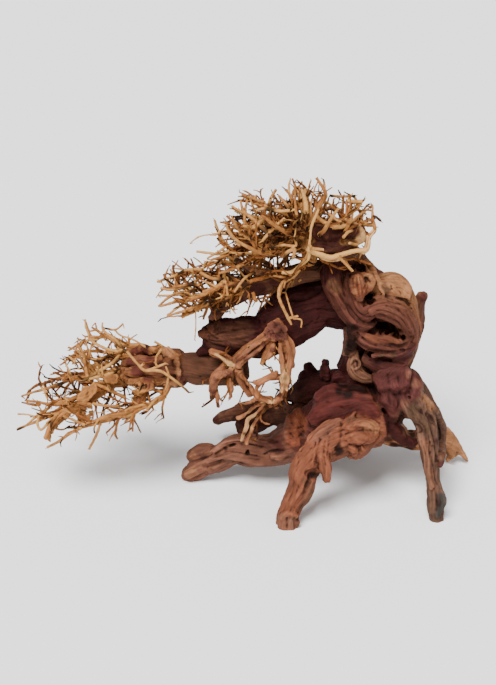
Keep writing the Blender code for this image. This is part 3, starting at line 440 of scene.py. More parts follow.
BASE_STRANDS = routes("""
dome: 56 -23 70 6, 65 -21 77 9, 76 -20 80 11, 88 -21 82 11, 100 -25 81 9, 107 -29 78 6;
dome top: 61 -16 85 6, 71 -15 89 8, 86 -17 87 9, 101 -20 86 8;
leg arm: 53 -51 66 3, 61 -47 72 4.5, 69 -43 76 5, 78 -42 79 3.5;
knuckle a: 82 -49 76 3.5, 91 -46 79 5, 101 -45 76 5, 108 -44 73 2.4;
knuckle b: 82 -53 69 4, 91 -52 70 5.5, 100 -50 70 4.5, 106 -46 71 2.4;
knuckle c: 84 -54 63 3, 88 -54 60 3.6, 87 -50 54 2.2;
knuckle ridge: 81.5 -44.5 81.5 1.2, 86 -42.5 84 1.8, 89 -39 86.5 1.2;
black stub: 93 -55 63 1.4, 95.5 -54.5 60 1.5, 96.5 -55 59.5 0.8;
jowl a: 46 -3 69 4, 43 -10 62 6.5, 42 -15 54 6.5, 44 -20 46 5;
jowl b: 38 -9 68 2.5, 37 -15 59 3.5, 37 -20 50 3;
filler top: 111 -11 100 5, 119 -11 97 8, 125 -15 90 8, 123 -18 80 7, 119 -16 69 6;
filler right: 128 -5 106 5, 135 -9 101 7, 139 -17 95 6, 135 -22 88 5;
filler low: 115 -17 68 5, 122 -17 60 6, 131 -18 51 4.5, 140 -18 47 4;
neck filler a: 107 -15 103 6, 114 -15 108 7.5, 122 -15 108 8, 131 -15 107 7;
neck filler b: 110 -18 99 7, 120 -18 101 8, 130 -18 100 7;
neck filler c: 112 -22 90 7, 118 -22 86 7, 122 -22 77 6;
saddle: 71 -10 89 6, 81 -10 87 7, 92 -10 86 7, 104 -10 86 6;
saddle back: 76 4 98 5, 83 4 92 7, 93 4 90 8, 105 4 88 7;
right top a: 126 -23 87 3, 134 -28 80 4.5, 142 -33 76 4.5, 147 -39 69 3.5, 150 -45 60 2.5;
right top b: 142 -16 91 2.5, 148 -19 85 3, 156 -18 75 3.4, 162 -13 61 3.4, 163 -12 48 3;
right shin: 141 -40 67 3, 144 -45 58 3.4, 146 -50 49 3.2, 147 -55 39 3.2, 150 -59 29 3;
twin tip: 162 -11 45 3.4, 159 -38 50 3.4, 157 -50 48 3, 156 -52 45 2.2;
foot edge: 158 -58 25.5 1.5, 159 -61 18 2.4, 157 -63 11 2.4, 155 -64 5.5 2;
rear fan a: 165 36 35 4, 174 36 28 4.5, 182 36 17 3.8, 188 36 8 2.6, 192.5 36 1 1;
rear fan b: 168 34 29 4, 175 34 17 4.4, 177 34 8 3, 174.5 34 3 1.6;
rear fan c: 174 35 26 3, 181 35 15 3.6, 181 35 7 1.8;
foot ring: 30 -75 10 2.2, 33 -74 13 2.6, 38 -74 14 2.6, 43 -75 12 2.2;
foot toe a: 31 -74 8 2.6, 32 -75 2 2.6;
foot toe b: 38 -75 8 2.4, 38 -75 2 2.4;
foot toe c: 43 -72 6 2.2, 43 -70 -1 2.2;
left ridge a: -29.5 -7 23.5 1.6, -16 -7 28 2.2, -1 -9 27 2.4, 9.5 -9.5 26.5 2;
left ridge b: -24 -4 31.5 1.6, -12 -2 40 2.4, 1 -6 44 2.6, 16 -12 45 2.4, 27 -16.5 43 2;
left tip: -47 -1 8 3.6, -40 -1 12 4, -33 -1 15 3;
left corner: 24 -16 34 3, 31 -18 34 3.4, 35.5 -18.5 37 2;
lobe stub d: 50 34 82 3.6, 51 34 84 3.4, 53 34 81 3;
lobe stub e: 55 34 92 1.4, 58 34 89 2.8, 59 34 82 3;
lobe stub f: 63 14 101 0.9, 64.5 14 95 1.3, 64.5 14 90.5 1.5;
lobe stub g: 66.5 14 106 1.8, 67 14 101 2.3, 69 14 96 2.4, 69 14 90 2.8;
lobe stub h: 64.5 14 101 1, 67 14 99.5 1.4;
""")

BASE_HOLLOWS = routes("""
leg slot deep: 52 -65 43 2.2, 56 -64 42 3, 60 -65 40 2.4;
leg slot: 49.5 -67 46 2, 54 -66 46 3, 58 -66 45 3, 62 -67.5 42.5 2;
leg side: 53 -66.5 41 2, 50 -69 34 2.2, 48 -71.5 27 1.8, 46.5 -72.5 20 1.2;
knuckle shadow: 73 -58 65 2.4, 76 -59 62 3, 78 -58 58 2.4;
jowl seam: 54.5 -15.5 67.5 1.6, 53.5 -26.5 62.5 2, 50.5 -44.5 62.5 2, 46 -55 59.5 1.8;
lobe gap: 35 22 61 2, 43 16 62 2.6, 51 6 69 2.6, 56 1 74 1.6;
right hollow: 146 -29 80.5 1.6, 149 -30 77 2.6, 152 -32 74 2.6, 156 -34 71 1.6;
right hollow deep: 148 -28.5 78 1.6, 151 -29 75 2.4, 153.5 -31.5 72.5 1.6;
right window: 128 -60 87 4.2, 139 30 41 4.2;
right window low: 131 -60 82 3.6, 142 30 36 3.6;
sliver a: 35.5 -40 95.5 1.2, 38.5 70 41.5 1.2;
sliver b: 37.5 -40 94.5 1.4, 41 70 40.5 1.4;
sliver c: 39.5 -40 94 1, 43 70 39.5 1;
left spot a: 4 -12 36 2.4, 4.5 -6.5 32.5 1.9;
left spot b: -14 -4.5 35 1.2, -9.5 -3.5 38 1.8, -4 -3 40 1.4;
dark pit a: 138 -19 96 2.2, 138 -13.5 93 1.8;
dark pit b: 132.5 -26 92 1.6, 133 -21.5 90 1.3;
""")

HANG_STRANDS = routes("""
arm ridge: 21.5 -32.5 148 1.8, 13.5 -33.5 144 1.9, 6.5 -33.5 139.5 1.9, 1 -33 133 1.8;
arm under: 17 -32.5 142 1.6, 11 -34 136 1.7, 3 -33.5 129.5 1.8, -3 -32 123 1.8;
head a: 19 -30 149 2.6, 23 -28 154 3, 25 -27 156.5 2;
head b: 27 -31 152 2.8, 30 -30 156 2.8, 33 -31 152 2.6;
head c: 23 -33 146 2.4, 27 -33 148 2.6, 32 -34 147 2.4;
right a: 32.5 -33 150 1.7, 35.5 -36 142.5 1.9, 37.5 -38.5 134 2, 37 -39.5 125.5 2.1, 35.5 -40 116 1.8,
  34.5 -39 105.5 1.5;
right b: 29.5 -33 142.5 1.6, 30.5 -36 133 1.8, 31.5 -38 123 1.9, 32 -39.5 112.5 1.8, 31 -38 103 1.5;
bump: 38 -27 123 2.2, 39 -27 120 2.2;
cross twig: -25.5 -25 131 1.3, -19 -26.5 128.5 1.9, -11 -29 124 2.2, -4 -31 119 2.2, 1.5 -32 111.5 1.7,
  7 -32 103.5 1.4, 12 -33.5 96.5 1.1;
low left: -5 -29 121 2.2, -13 -30 116 2.4, -20 -29 111 2.6, -23 -28 103 2.4, -24 -29 93 1.7;
low left b: -21.5 -25 101 1.9, -19.5 -28.5 93.5 1.8, -19.5 -31.5 87 1.2;
low mid: -10 -27 110 1.5, -8.5 -29.5 101 1.7, -10.5 -28.5 92.5 1.3;
bottom a: 31 -33 95 1.7, 23.5 -33.5 92.5 1.8, 17.5 -32.5 94.5 1.6, 12 -32 94.5 1.4, 7 -33 92.5 1.3,
  1 -34 90.5 1.1, -3 -33.5 92 0.9;
bottom b: 17.5 -28.5 88.5 1.7, 11.5 -28.5 80.5 1.9, 5.5 -28.5 74.5 1.9, 3.5 -28.5 68 1.7,
  1 -28.5 61 1.5, -1 -29 54.5 1.1;
bottom c: 17.5 -28.5 91.5 1.5, 12.5 -29 87.5 1.3, 4 -29 80.5 1.3, -1 -29 76 1, -4 -29 75.5 0.8;
bottom d: 13.5 -27.5 81 1.2, 15.5 -31 73.5 1.1, 22 -32.5 72 0.8;
loop a: 27 -33.5 117.5 1.5, 20 -35 113.5 1.5, 12 -36 110 1.3, 9 -34.5 110 0.9;
inner: 24 -31.5 141.5 1.6, 23 -33.5 136 1.7, 19 -34.5 130 1.4;
""")

LEFT_STRANDS = routes("""
core a: -93 0 122 2.6, -86 -2 121 3.8, -79 -5 125 3.8, -72 -8 125 3.4, -66 -8 127 2.8;
core b: -96 -6 113 2.6, -89 -10 116 4.2, -81 -12 119 3.8, -73 -14 118 3.8, -64 -12 120 3.2;
core c: -93 -16 111 2.6, -86 -17 110 4.2, -78 -17 112 3.8, -69 -18 109 3.8, -60 -16 111 3.2,
  -53 -17 110 2.6;
core d: -90 -18 103 2.6, -81 -20 103 3.6, -73 -21 102 3.6, -64 -19 103 3.2, -56 -18 100 2.6;
core e: -86 -30 98 2.2, -78 -29 99 2.6, -70 -27 100 2.4, -64 -27.5 97 1.8;
collar a: -53 -12 123 2.6, -52 -14 118 3, -51 -17 112 3, -51 -19 105 2.6, -55 -19 99.5 2;
""")

# Masses inside the crown that stand for its shaded inside, painted dark
CROWN_STRANDS = routes("""
neck mass a: 57 -20 229 8, 70 -20 230 9, 82 -20 229 8, 91 -20 224 5;
neck mass b: 57 -22 218 8, 70 -22 217 9, 84 -22 215 8;
""")

UPPER_STRANDS = routes("""
under a: -25 -8 153 2.6, -20 -8 158 3, -12 -8 164 3.4, -3 -8 169 3.6, 9 -8 175 4, 24 -8 180 5;
under b: -22 -10 157 2.2, -24 -10 164 2.4, -25.5 -10 172 2;
wide root: -5 -0.5 199.5 2, 4 -12 197 2.4, 14 -14 194 3, 26 -9 190 2.6;
""")

LEFT_PLATES = routes("""
tan web: -110 -24 108, -104 -19 110, -98 -19 108, -99 -25 104, -107 -28 105;
brown web: -130 -34 96, -126 -30 103, -116 -28 106, -114 -32 102, -123 -36 93, -130 -35 91;
wide web: -136 -33 88, -130 -35 93, -119 -36 92, -118 -35 83, -120 -23 68, -128 -25 67,
  -132 -30 78;
low web: -88 -25 92, -83 -18 93, -78 -4 82, -80 -10 76, -88 -19 79;
blade: -145 -18 75, -135 -32 84, -142 -22 71, -148 -28 67, -152 -34 62, -153 -39 58,
  -157 -38 60, -157 -33 64, -152 -26 69;
collar: -63 -24 133, -58 -24 136, -52 -24 130, -55 -24 123, -63 -24 127;
orange web: -80 -26 110, -70 -26 110, -70 -26 101, -78 -26 96, -82 -26 101;
""")

LEFT_STICKS = routes("""
a: -90 -30 134 1, -80 -30 121 1.1, -76 -30 118 1.3, -69 -30 120 1, -60 -30 124 0.9;
b: -76 -31 118 1.2, -65 -31 118 1.2, -56 -31 112 1.1, -49 -31 106 1, -42 -31 99 0.8;
c: -61 -22 94 0.9, -68 -22 86 1, -74 -22 84 1, -79 -22 82 1;
d: -118 -36 92 1.1, -109 -36 90 1.1, -98 -31 87 1.2, -91 -27 87 1.3;
e: -90 -24 82 1.3, -98 -29 80 1.1, -105 -31 80 1, -112 -31 77 0.9;
f: -90 -15 73 1.6, -101 -18 70 1.7, -115 -22 68 1.5, -128 -26 66 1.3, -140 -27 66 1;
g: -128 -26 66 1.2, -137 -30 63 1.2, -146 -37 59 1.2, -155 -42 56 1;
h: -114 -23 68 1.3, -117 -31 61 1.3, -122 -41 54 1.1;
i: -98 -17 71 0.9, -103 -23 66 0.9, -109 -28 62 0.8;
j: -180 -33 67 0.9, -173 -30 69 0.9, -168 -25 72 1, -163 -21 75 1.2, -155 -15 78 1.3;
k: -180 -23 76 0.8, -172 -22 75 0.8, -164 -23 73 0.9;
l: -178 -11 86 0.8, -168 -7 88 1, -160 -4 89 1.2, -143 -22 103 1.4;
m: -165 -1 93 1, -160 -6 88 1, -157 -11 83 0.8;
n: -163 -22 74 1.2, -164 -27 70 1.1, -161 -31 66 1.1, -156 -26 69 1.1, -152 -21 73 1;
o: -124 -8 152 0.8, -124 -8 146 0.9, -122 -8 140 1, -122 -8 135 1;
p: -116 -8 149 0.7, -115 -8 143 0.8, -111 -8 138 1, -108 -8 134 1;
q: -110 -12 151 0.7, -110 -12 145 0.9, -105 -12 140 1.2, -100 -12 136 1.3, -96 -12 130 1.4,
  -93 -12 126 1.4;
r: -121 -14 138 1, -115 -14 133 1.2, -107 -14 129 1.3, -98 -14 127 1.4;
s: -94 -12 150 0.7, -100 -12 145 0.8, -108 -12 146 0.9;
t: -101 -14 146 0.7, -96 -14 141 0.7, -88 -14 138 0.7, -81 -14 134 0.8, -77 -14 131 0.9;
u: -135 25 115 1, -130 13 114 1.2, -126 -8 115 1.3, -124 -18 112 1.4, -122 -25 108 1.4;
v: -143 23 114 0.7, -136 22 112 0.9, -129 5 115 1.2, -120 -5 116 1.4, -114 -6 115 1.3;
w: -142 18 108 0.8, -134 -6 114 0.8, -130 -15 112 0.8;
x: -142 -2 111 0.7, -138 -14 110 0.8, -135 -22 107 0.9;
y: -127 22 112 0.9, -122 -3 116 1.1, -114 -5 116 1.2, -109 4 115 1.2, -102 8 114 1.2;
z: -100 8 113 1.5, -104 -8 114 1.5, -110 -16 113 1.5, -117 -22 111 1.3, -126 -27 107 1.1;
aa: -70 -6 132 1, -64 -6 128 1.1;
ab: -68 -30 124 0.9, -67 -30 130 1, -63 -30 136 1.1;
ac: -121 -25 108 1.4, -109 -22 110 1.3, -102 -17 110 1.1, -98 -11 111 0.9;
ad: -118 -28 106 1.2, -109 -30 103 1.3, -101 -31 99 1.3, -93 -28 93 1.5;
ae: -174 -13 83 0.9, -165 -13 82 1.1, -155 -14 80 1.3, -138 -32 90 1.5;
af: -137 -32 88 1, -131 -32 80 1, -126 -32 77 0.9;
ag: -60 -30 121 0.9, -58 -30 114 1, -60 -30 103 1;
ah: -154 -28 68 0.9, -145 -29 65 0.8, -138 -26 67 0.8;
""")

CROWN_SPOTS = routes("""
burnt: 23 -20 249 5.5, -3 -12 238 4.5, 4 -31 228 4.5, 44 -38 241 8, 52 -42 236 6, 39 -42 236 5,
  47 -46 224 5, 84 -27 228 5, 14 -40 223 4, -12 2 226 3.5, 70 0 250 4, 34 -46 218 4;
bare: 59 -36 234 8, 72 -36 234 9, 82 -36 231 7, 61 -36 216 9, 74 -36 218 9, 85 -36 219 9, 67 -36 207 8,
  79 -36 205 7, 56 -36 225 7;
bare in front: 59 -50 238 8, 71 -50 238 9, 82 -50 235 8, 60 -50 222 9, 73 -50 223 9, 84 -50 224 9,
  67 -50 213 8;
""")

UPPER_SPOTS = routes("""
burnt: -9 -18 197 7, -38 -25 190 5, -24 -39 180 6, -20 -35 171 5, -48 -6 191 4, 4 -33 189 5,
  -26 -10 198 4, 10 -35 182 4;
""")

LEFT_SPOTS = routes("""
burnt: -120 -12 114 5, -130 -10 114 4, -140 -20 106 5, -135 -29 101 6, -156 -22 72 5, -166 -18 78 4,
  -142 -25 68 4, -78 27 113 5, -70 29 115 4, -100 -15 111 4, -87 -22 94 6, -69 1 87 5, -95 -21 67 3.5,
  -178 -32 68 4, -165 -2 92 3;
""")

CROWN_STICKS = routes("""
pale a: 49 -34 221 1.8, 54 -34 218 2, 60 -34 216 2.1, 67 -34 214 2.1, 74 -34 216 2, 84 -34 219 1.8,
  94 -34 220 1.8;
pale b: 74 -34 214 1.1, 79 -34 208 1, 84 -34 203 0.8;
pale c: 57 -36 253 0.9, 55 -36 248 1.1, 52 -36 240 1.1, 51 -36 230 1, 50 -36 220 1.4;
pale d: 50 -34 220 1.5, 50 -34 213 1.3, 43 -34 207 1.2, 37 -34 202 1.4, 30 -34 202 1.3;
a: 0 17 247 0.9, 9 3 248 1.1, 17 -11 250 1.2;
b: 26 16 251 1.2, 22 -6 252 1.3, 20 -16 250 1.2;
c: 39 23 258 0.8, 41 20 252 0.9, 40 -19 252 1.1, 41 -31 246 1.3;
d: 46 3 255 1.2, 48 -17 252 2, 48 -28 248 2.2;
e: 33 11 253 0.8, 36 -4 254 0.9, 38 -15 253 1;
f: 4 15 244 0.9, 2 -11 242 1.1, 2 -24 236 1.2;
g: 1 -23 235 1.4, 9 -30 237 1.8, 15 -29 242 1.9, 20 -26 245 1.6;
h: -40 -20 220 0.5, -34 -20 225 0.6, -27 -20 227 0.6, -20 -20 227 0.8;
i: -35 -24 215 1, -26 -24 214 1, -18 -24 213 1.1, -10 -24 216 1.2;
j: -27 -26 210 0.8, -19 -26 215 0.9, -12 -26 220 1;
k: 38 -43 234 1, 40 -46 228 1.1, 30 -45 228 1.1, 22 -43 225 1;
l: 32 -33 245 1.1, 23 -37 238 1.3, 15 -39 229 1.2;
m: 68 2 251 1.2, 78 15 246 1.2, 88 14 247 1;
n: 81 12 243 1.7, 93 11 243 1.7;
o: 95 7 237 0.9, 85 -16 238 1.3, 77 -28 237 1.5, 68 -34 238 1.5;
p: 96 3 231 0.9, 90 -14 233 1.1, 87 -23 229 1;
q: 64 -24 246 1, 72 -27 241 1.1, 80 -26 236 1.1;
r: 76 -34 230 1.2, 81 -28 233 1.3, 87 -22 230 1.4, 92 -17 223 1.4, 87 -25 221 1.3, 81 -32 225 1.1;
s: 52 -44 225 1.2, 61 -44 224 1.1;
t: 73 -40 216 1.1, 79 -40 210 0.9, 83 -40 205 0.7;
u: 30 -45 218 1.2, 34 -46 223 1.4, 39 -47 225 1.5, 38 -46 218 1.2;
v: 11 -18 246 1.2, 18 -20 248 1.4, 28 -26 248 1.4, 38 -26 249 1.2;
w: -5 10 236 1.2, 4 -17 242 1.4, 14 -32 238 1.5, 22 -40 233 1.4;
x: 28 -5 253 1, 32 -18 252 1.3, 37 -27 249 1.4;
y: 55 -30 246 1.4, 63 -33 241 1.6, 73 -30 238 1.4;
z: 57 -24 249 1, 61 -13 251 1.1, 67 -14 249 1, 70 -21 245 0.9;
""")

UPPER_STICKS = routes("""
a: -67 -1 181 0.9, -54 -2 186 1.2, -44 -7 193 1.3, -31 -13 196 1.5;
b: -65 -22 169 0.9, -58 -15 173 1.1, -48 -25 182 1.2, -35 -32 186 1.4;
c: -58 -30 165 0.8, -48 -21 169 1, -37 -33 182 1.1;
d: -47 -31 164 1.3, -37 -25 169 1.5, -28 -38 179 1.6;
e: -36 -30 172 0.6, -36 -30 157 0.6, -37 -30 144 0.5;
f: -66 -12 174 0.8, -54 -12 174 0.9, -40 -31 184 1.1;
g: -64 -6 178 0.9, -57 -8 177 1.1, -44 -26 186 1.2;
h: -30 -35 186 1.6, -19 -35 190 2, -14 -29 193 1.9, -14 -20 197 1.4;
i: -13 -30 193 1.3, -11 -39 185 1.1;
j: -12 -32 176 0.7, -5 -32 167 0.6;
k: 5 -30 183 0.7, 6 -30 172 0.6;
l: 8 -28 183 1.5, 10 -28 177 1.5;
m: -6 7 199 1.5, 2 -8 198 1.9, 12 -12 196 2.2, 25 -8 191 2.2;
n: 0 -34 189 1.2, 7 -27 192 1.5, 16 -20 192 1.6, 27 -4 190 1.8;
o: -6 -37 187 1, 2 -26 194 1.1, 10 -16 195 1.1;
p: 39 -44 168 0.8, 45 -44 167 0.7, 45 -44 161 0.6;
q: -32 -17 195 1.3, -24 -26 194 1.5, -14 -29 194 1.6;
r: -53 -17 183 1.1, -42 -25 188 1.3, -32 -30 190 1.4;
""")

TRUNK_CREASES = routes("""
left a: 81 -14.5 186.5 1.4, 82.5 -17 179.5 1.5, 85 -20.5 172 1.5, 89.5 -23 164.5 1.5,
  96 -24.5 160.5 1.3, 102 -24.5 161.5 1;
left b: 70.5 -17.5 188.5 1, 76.5 -18 178 1.1, 82.5 -20 168 1.1, 89.5 -21.5 159.5 1, 95.5 -20 155 0.8;
burl rib c: 84.5 -22.5 192.5 0.9, 85 -24.5 187 1, 87 -25.5 179.5 0.9;
burl rib d: 87.5 -23.5 194 0.9, 88 -25 188 1, 89.5 -27 180.5 0.9;
burl rib e: 90.5 -23.5 194 0.8, 91 -26 189.5 0.9, 92.5 -27.5 183 0.8;
shoulder a: 108 -20 185.5 1.2, 110.5 -21 181.5 1.4, 113 -21.5 177 1.4, 116.5 -22 175 1;
shoulder b: 119.5 -20.5 175 1, 124.5 -19 173 1.3, 129.5 -19.5 172.5 1;
shoulder c: 108 -15.5 189.5 0.7, 114.5 -18 189.5 0.8, 121.5 -18.5 190 0.7, 126.5 -19 186.5 0.6;
tongue ring: 88 -15.5 117.5 0.8, 89.5 -15 119 0.8, 91 -15.5 118 0.8, 90.5 -17 116 0.8, 89 -17 116 0.8;
tongue c: 86 -17.5 112 0.8, 89.5 -18.5 108.5 0.9, 94.5 -18 104.5 0.9, 102 -16 102 0.8;
burl edge: 82.5 -15 192.5 1.4, 82 -18.5 186.5 1.3, 84 -18 178 1.2;
burl inner: 95.5 -20 191.5 1.2, 96 -22.5 188 1.4, 94 -26 186 1.2;
fold a: 104 -28.5 168 0.9, 111 -30.5 167.5 1.1, 118.5 -32 165.5 1.2, 124.5 -33 160 1.2,
  128.5 -32.5 154 0.9;
fold b: 111 -28 172 0.9, 120.5 -29.5 169 1.1, 127 -31.5 163 1.1, 131.5 -32 155.5 0.9;
fold c: 112.5 -23.5 175 1, 119 -24.5 172.5 1.2, 126 -21 169 1.2, 132 -16.5 164.5 0.8;
shoulder d: 119 -19.5 183.5 0.6, 124 -20 182.5 0.7, 128.5 -19.5 179 0.6;
peg seam: 131 -19 174 1.6, 133.5 -17.5 168 1.8, 136.5 -17 161.5 1.6, 138.5 -19 153 1.2,
  138.5 -21 144.5 1;
lip a: 94 -19 141 1.1, 100.5 -21 137.5 1.3, 109.5 -21 136 1.3, 119 -20.5 135 1.3, 128.5 -22 136.5 1.2,
  133.5 -25 143.5 0.9;
base a: 101.5 -14 120 1, 110 -14.5 122 1, 119.5 -16.5 119.5 1.1, 128 -17 117.5 1;
base b: 124.5 -20 131 1, 130.5 -21.5 131.5 1.1, 135 -22.5 136 0.9;
tongue a: 89 -15.5 122.5 0.8, 88.5 -17 116.5 0.9, 90 -18.5 110.5 0.9, 96.5 -18.5 106.5 0.9,
  103.5 -17.5 105 0.7;
tongue b: 92.5 -16.5 121 0.8, 92.5 -18 116 0.9, 95 -16 111 0.9;
""")

BASE_CREASES = routes("""
leg a: 57 -55 68 1, 55.5 -60.5 61.5 1.2, 53 -65 54.5 1.2, 49.5 -66.5 48 1;
leg b: 60.5 -54 70 1.2, 58.5 -60 63.5 1.5, 57.5 -64 56 1.5, 58.5 -65.5 48.5 1.2;
leg c: 64.5 -56.5 70 0.9, 63.5 -62 62 1.1, 64.5 -68 55 1;
leg d: 68 -54.5 72.5 0.9, 67 -59.5 65.5 1, 66.5 -64.5 58.5 0.8;
leg e: 43.5 -61 54.5 0.9, 41.5 -64.5 44.5 1.1, 39.5 -67 34 1, 36.5 -69.5 23.5 0.8;
leg f: 42.5 -69.5 33 0.8, 40.5 -71.5 24.5 0.9, 37.5 -73.5 17 0.8;
leg g: 54.5 -19.5 56.5 0.9, 47.5 -44 57.5 1.1, 43 -59 56 0.9;
foot a: 29 -70.5 12 1, 35.5 -71.5 15.5 1.2, 44.5 -71 13 1;
foot b: 35 -76 11 0.9, 35 -76.5 3 1.2;
foot c: 40.5 -76 11.5 0.9, 41 -75 2 1.2;
knuckle a: 80.5 -52.5 73.5 1, 88.5 -52 75.5 1.2, 97 -51 75.5 1.1, 106 -48 74 0.8;
knuckle b: 77.5 -46.5 80 1.6, 77.5 -52.5 73.5 1.8, 76 -57.5 67 1.6;
knuckle c: 83.5 -56 66 1, 91 -53.5 63.5 1.1, 97 -55.5 68 0.9;
knuckle d: 90 -43.5 83 1.2, 100 -38 79 1.4, 109 -35 74 1.1;
dome edge: 52 -52 68.5 1.2, 60.5 -47 77 1.6, 69 -43 80.5 1.5, 80 -38.5 80.5 1.2;
dome left: 56 -2 74.5 1.2, 54.5 -17 72.5 1.4, 54.5 -19 63.5 1.2;
dome fold: 67 -23.5 87.5 0.9, 81.5 -31 84 1, 89 -40.5 84 0.9;
jowl a: 39.5 -15.5 64 0.9, 44 -18 60.5 1, 49 -16.5 62 0.8;
jowl b: 38.5 -20 57 0.8, 42.5 -21 53.5 0.9, 48 -17.5 55.5 0.7;
filler a: 115 -22 110 1.2, 116.5 -25.5 98 1.4, 117.5 -29.5 88 1.2;
filler b: 123.5 -23 108.5 1.2, 125 -24 95 1.4, 124 -27 84.5 1;
right seam: 142 -28.5 82.5 1.2, 147 -36.5 75 1.6, 152 -41 65.5 1.8, 153.5 -46 56 1.8, 153.5 -51 49 1.6;
shin a: 141.5 -45.5 63 0.8, 145 -51.5 52 1, 146.5 -57 40.5 1, 148.5 -61.5 30.5 0.8;
shin b: 147.5 -45.5 63 0.9, 149.5 -50.5 51 1, 151.5 -54 41 1, 154.5 -57 31 0.8;
foot edge: 152 -60 28.5 1, 154 -61.5 20 1.2, 153.5 -63.5 11.5 1;
thigh a: 129.5 -27 87 0.9, 136.5 -33.5 80.5 1, 142.5 -39 72.5 0.9;
left a: -45.5 1.5 18.5 1.6, -36 2.5 23 2, -26.5 0 27.5 1.6;
left b: -40.5 -3 15.5 0.9, -26.5 -5.5 25 1.1, -13.5 -5.5 32.5 1.1, -1 -8 32.5 1, 11.5 -10.5 31.5 0.9;
left c: -19 -4 36.5 0.9, -8.5 -5 41.5 1.2, 3 -7.5 41.5 1, 15.5 -10 39.5 0.9;
left d: 7.5 -0.5 44 0.9, 17.5 -5.5 45.5 1.1, 28 -16.5 47.5 0.9;
left e: 17.5 -12 33.5 1.1, 24 -15 38.5 1.3, 33 -19 41 1.1;
""")

LIMB_CREASES = routes("""
long a: -27 -16.5 137 1, -13 -19 138 1.2, 3 -18.5 140.5 1.2, 17 -15 145 1;
long b: -23 -16 144.5 0.9, -11 -15 145 1.1, 3 -13 147.5 1.1, 17 -12 150.5 0.9;
end a: -29.5 -14 136 1.6, -23 -17 134 2, -15 -19.5 133 1.4;
end b: -29 -9.5 146 1, -26 -14.5 143 1.3, -20 -18.5 140 1;
far: 38 -8 168.5 1.2, 48.5 -9 170 1.6, 57 -7 173.5 1.6, 63 -4 177 1.2;
far b: 47.5 -15.5 160.5 0.8, 59.5 -12 162 1, 70 -9 159.5 0.9;
under: 7 -18 129 1, 23 -18 135.5 1.2, 41 -16.5 145 1.1, 55 -14 152.5 0.9;
""")


def linear(hex_colour: str) -> Colour:
    """Turn an sRGB hex colour into linear RGBA.

    Args:
        hex_colour: Six hex digits.

    Returns:
        Linear red, green, blue and an alpha of 1.
    """
    channels = [int(hex_colour[i:i + 2], 16) / 255 for i in (0, 2, 4)]
    red, green, blue = (c / 12.92 if c <= 0.04045 else ((c + 0.055) / 1.055) ** 2.4 for c in channels)
    return red, green, blue, 1.0


def feed(tree: NodeTree, node: Node, inputs: Dict[Any, Any]) -> None:
    """Set or link a node's inputs.

    Args:
        tree: The tree that holds the node.
        node: The node.
        inputs: Input socket by name or number, and a value, an output socket, or a node whose first
            output is meant.
    """
    for socket, value in inputs.items():
        if isinstance(value, Node):
            value = value.outputs[0]
        if isinstance(value, NodeSocket):
            tree.links.new(value, node.inputs[socket])
        else:
            node.inputs[socket].default_value = value


def add_node(tree: NodeTree, kind: str, inputs: Optional[Dict[Any, Any]] = None, **settings: Any) -> Node:
    """Add a node to a tree.

    Args:
        tree: The tree that gets the node.
        kind: The node's type name.
        inputs: What feed() sets or links.
        settings: Property values by name.

    Returns:
        The new node.
    """
    node = tree.nodes.new(kind)
    for name, value in settings.items():
        setattr(node, name, value)
    feed(tree, node, inputs or {})
    return node


def new_material(name: str) -> Tuple[Material, NodeTree, Node]:
    """Start a node material.

    Args:
        name: Name of the finish.

    Returns:
        The material, its node tree and its Principled shader.
    """
    material = bpy.data.materials.new(name)
    material.use_nodes = True
    return material, material.node_tree, material.node_tree.nodes["Principled BSDF"]


def new_object(name: str, data: ID) -> Object:
    """Put a mesh, lamp or camera into the scene.

    Args:
        name: Name of the object.
        data: The mesh, lamp or camera.

    Returns:
        The object, at the origin.
    """
    body = bpy.data.objects.new(name, data)
    bpy.context.scene.collection.objects.link(body)
    return body


def new_mesh(name: str, points: Array, edges: Sequence[Tuple[int, int]],
             faces: Sequence[Tuple[int, ...]]) -> Object:
    """Make a mesh object.

    Args:
        name: Name of the object.
        points: Its vertices in mm, in the tables' frame.
        edges: Its loose edges.
        faces: Its faces.

    Returns:
        The object, in metres and round the middle of the box.
    """
    data = bpy.data.meshes.new(name)
    data.from_pydata(((points - (*BOX_CENTRE, 0.0)) * MM).tolist(), edges, faces)
    data.update()
    return new_object(name, data)


def modify(body: Object, name: str, kind: str, **settings: Any) -> Modifier:
    """Add a modifier to an object.

    Args:
        body: The object.
        name: Name of the modifier.
        kind: Its type.
        settings: Property values by name.

    Returns:
        The modifier.
    """
    modifier = body.modifiers.new(name, kind)
    for key, value in settings.items():
        setattr(modifier, key, value)
    return modifier


def settle(body: Object) -> None:
    """Make the evaluated mesh the object's own and drop its modifiers.

    Args:
        body: The object.
    """
    view = bpy.context.evaluated_depsgraph_get()
    data = bpy.data.meshes.new_from_object(body.evaluated_get(view), depsgraph=view)
    old = body.data
    body.modifiers.clear()
    body.data = data
    bpy.data.meshes.remove(old)


def read_rows(items: Any, key: str, width: int, kind: type) -> Array:
    """Read a property of every vertex, edge or normal.

    Args:
        items: The mesh's collection.
        key: Name of the property.
        width: How many values it has.
        kind: Number type of the values.

    Returns:
        One row for each item.
    """
    flat = np.empty(len(items) * width, kind)
    items.foreach_get(key, flat)
    return flat.reshape(-1, width)


def store(body: Object, name: str, values: Array) -> None:
    """Store an attribute of the vertices.

    Args:
        body: The object.
        name: Name of the attribute.
        values: A number, vector or RGBA colour for each vertex.
    """
    kind, key = {1: ("FLOAT", "value"), 3: ("FLOAT_VECTOR", "vector"),
                 4: ("FLOAT_COLOR", "color")}[values[0].size]
    layer = body.data.attributes.new(name, kind, "POINT")
    layer.data.foreach_set(key, np.ascontiguousarray(values, np.float32).ravel())


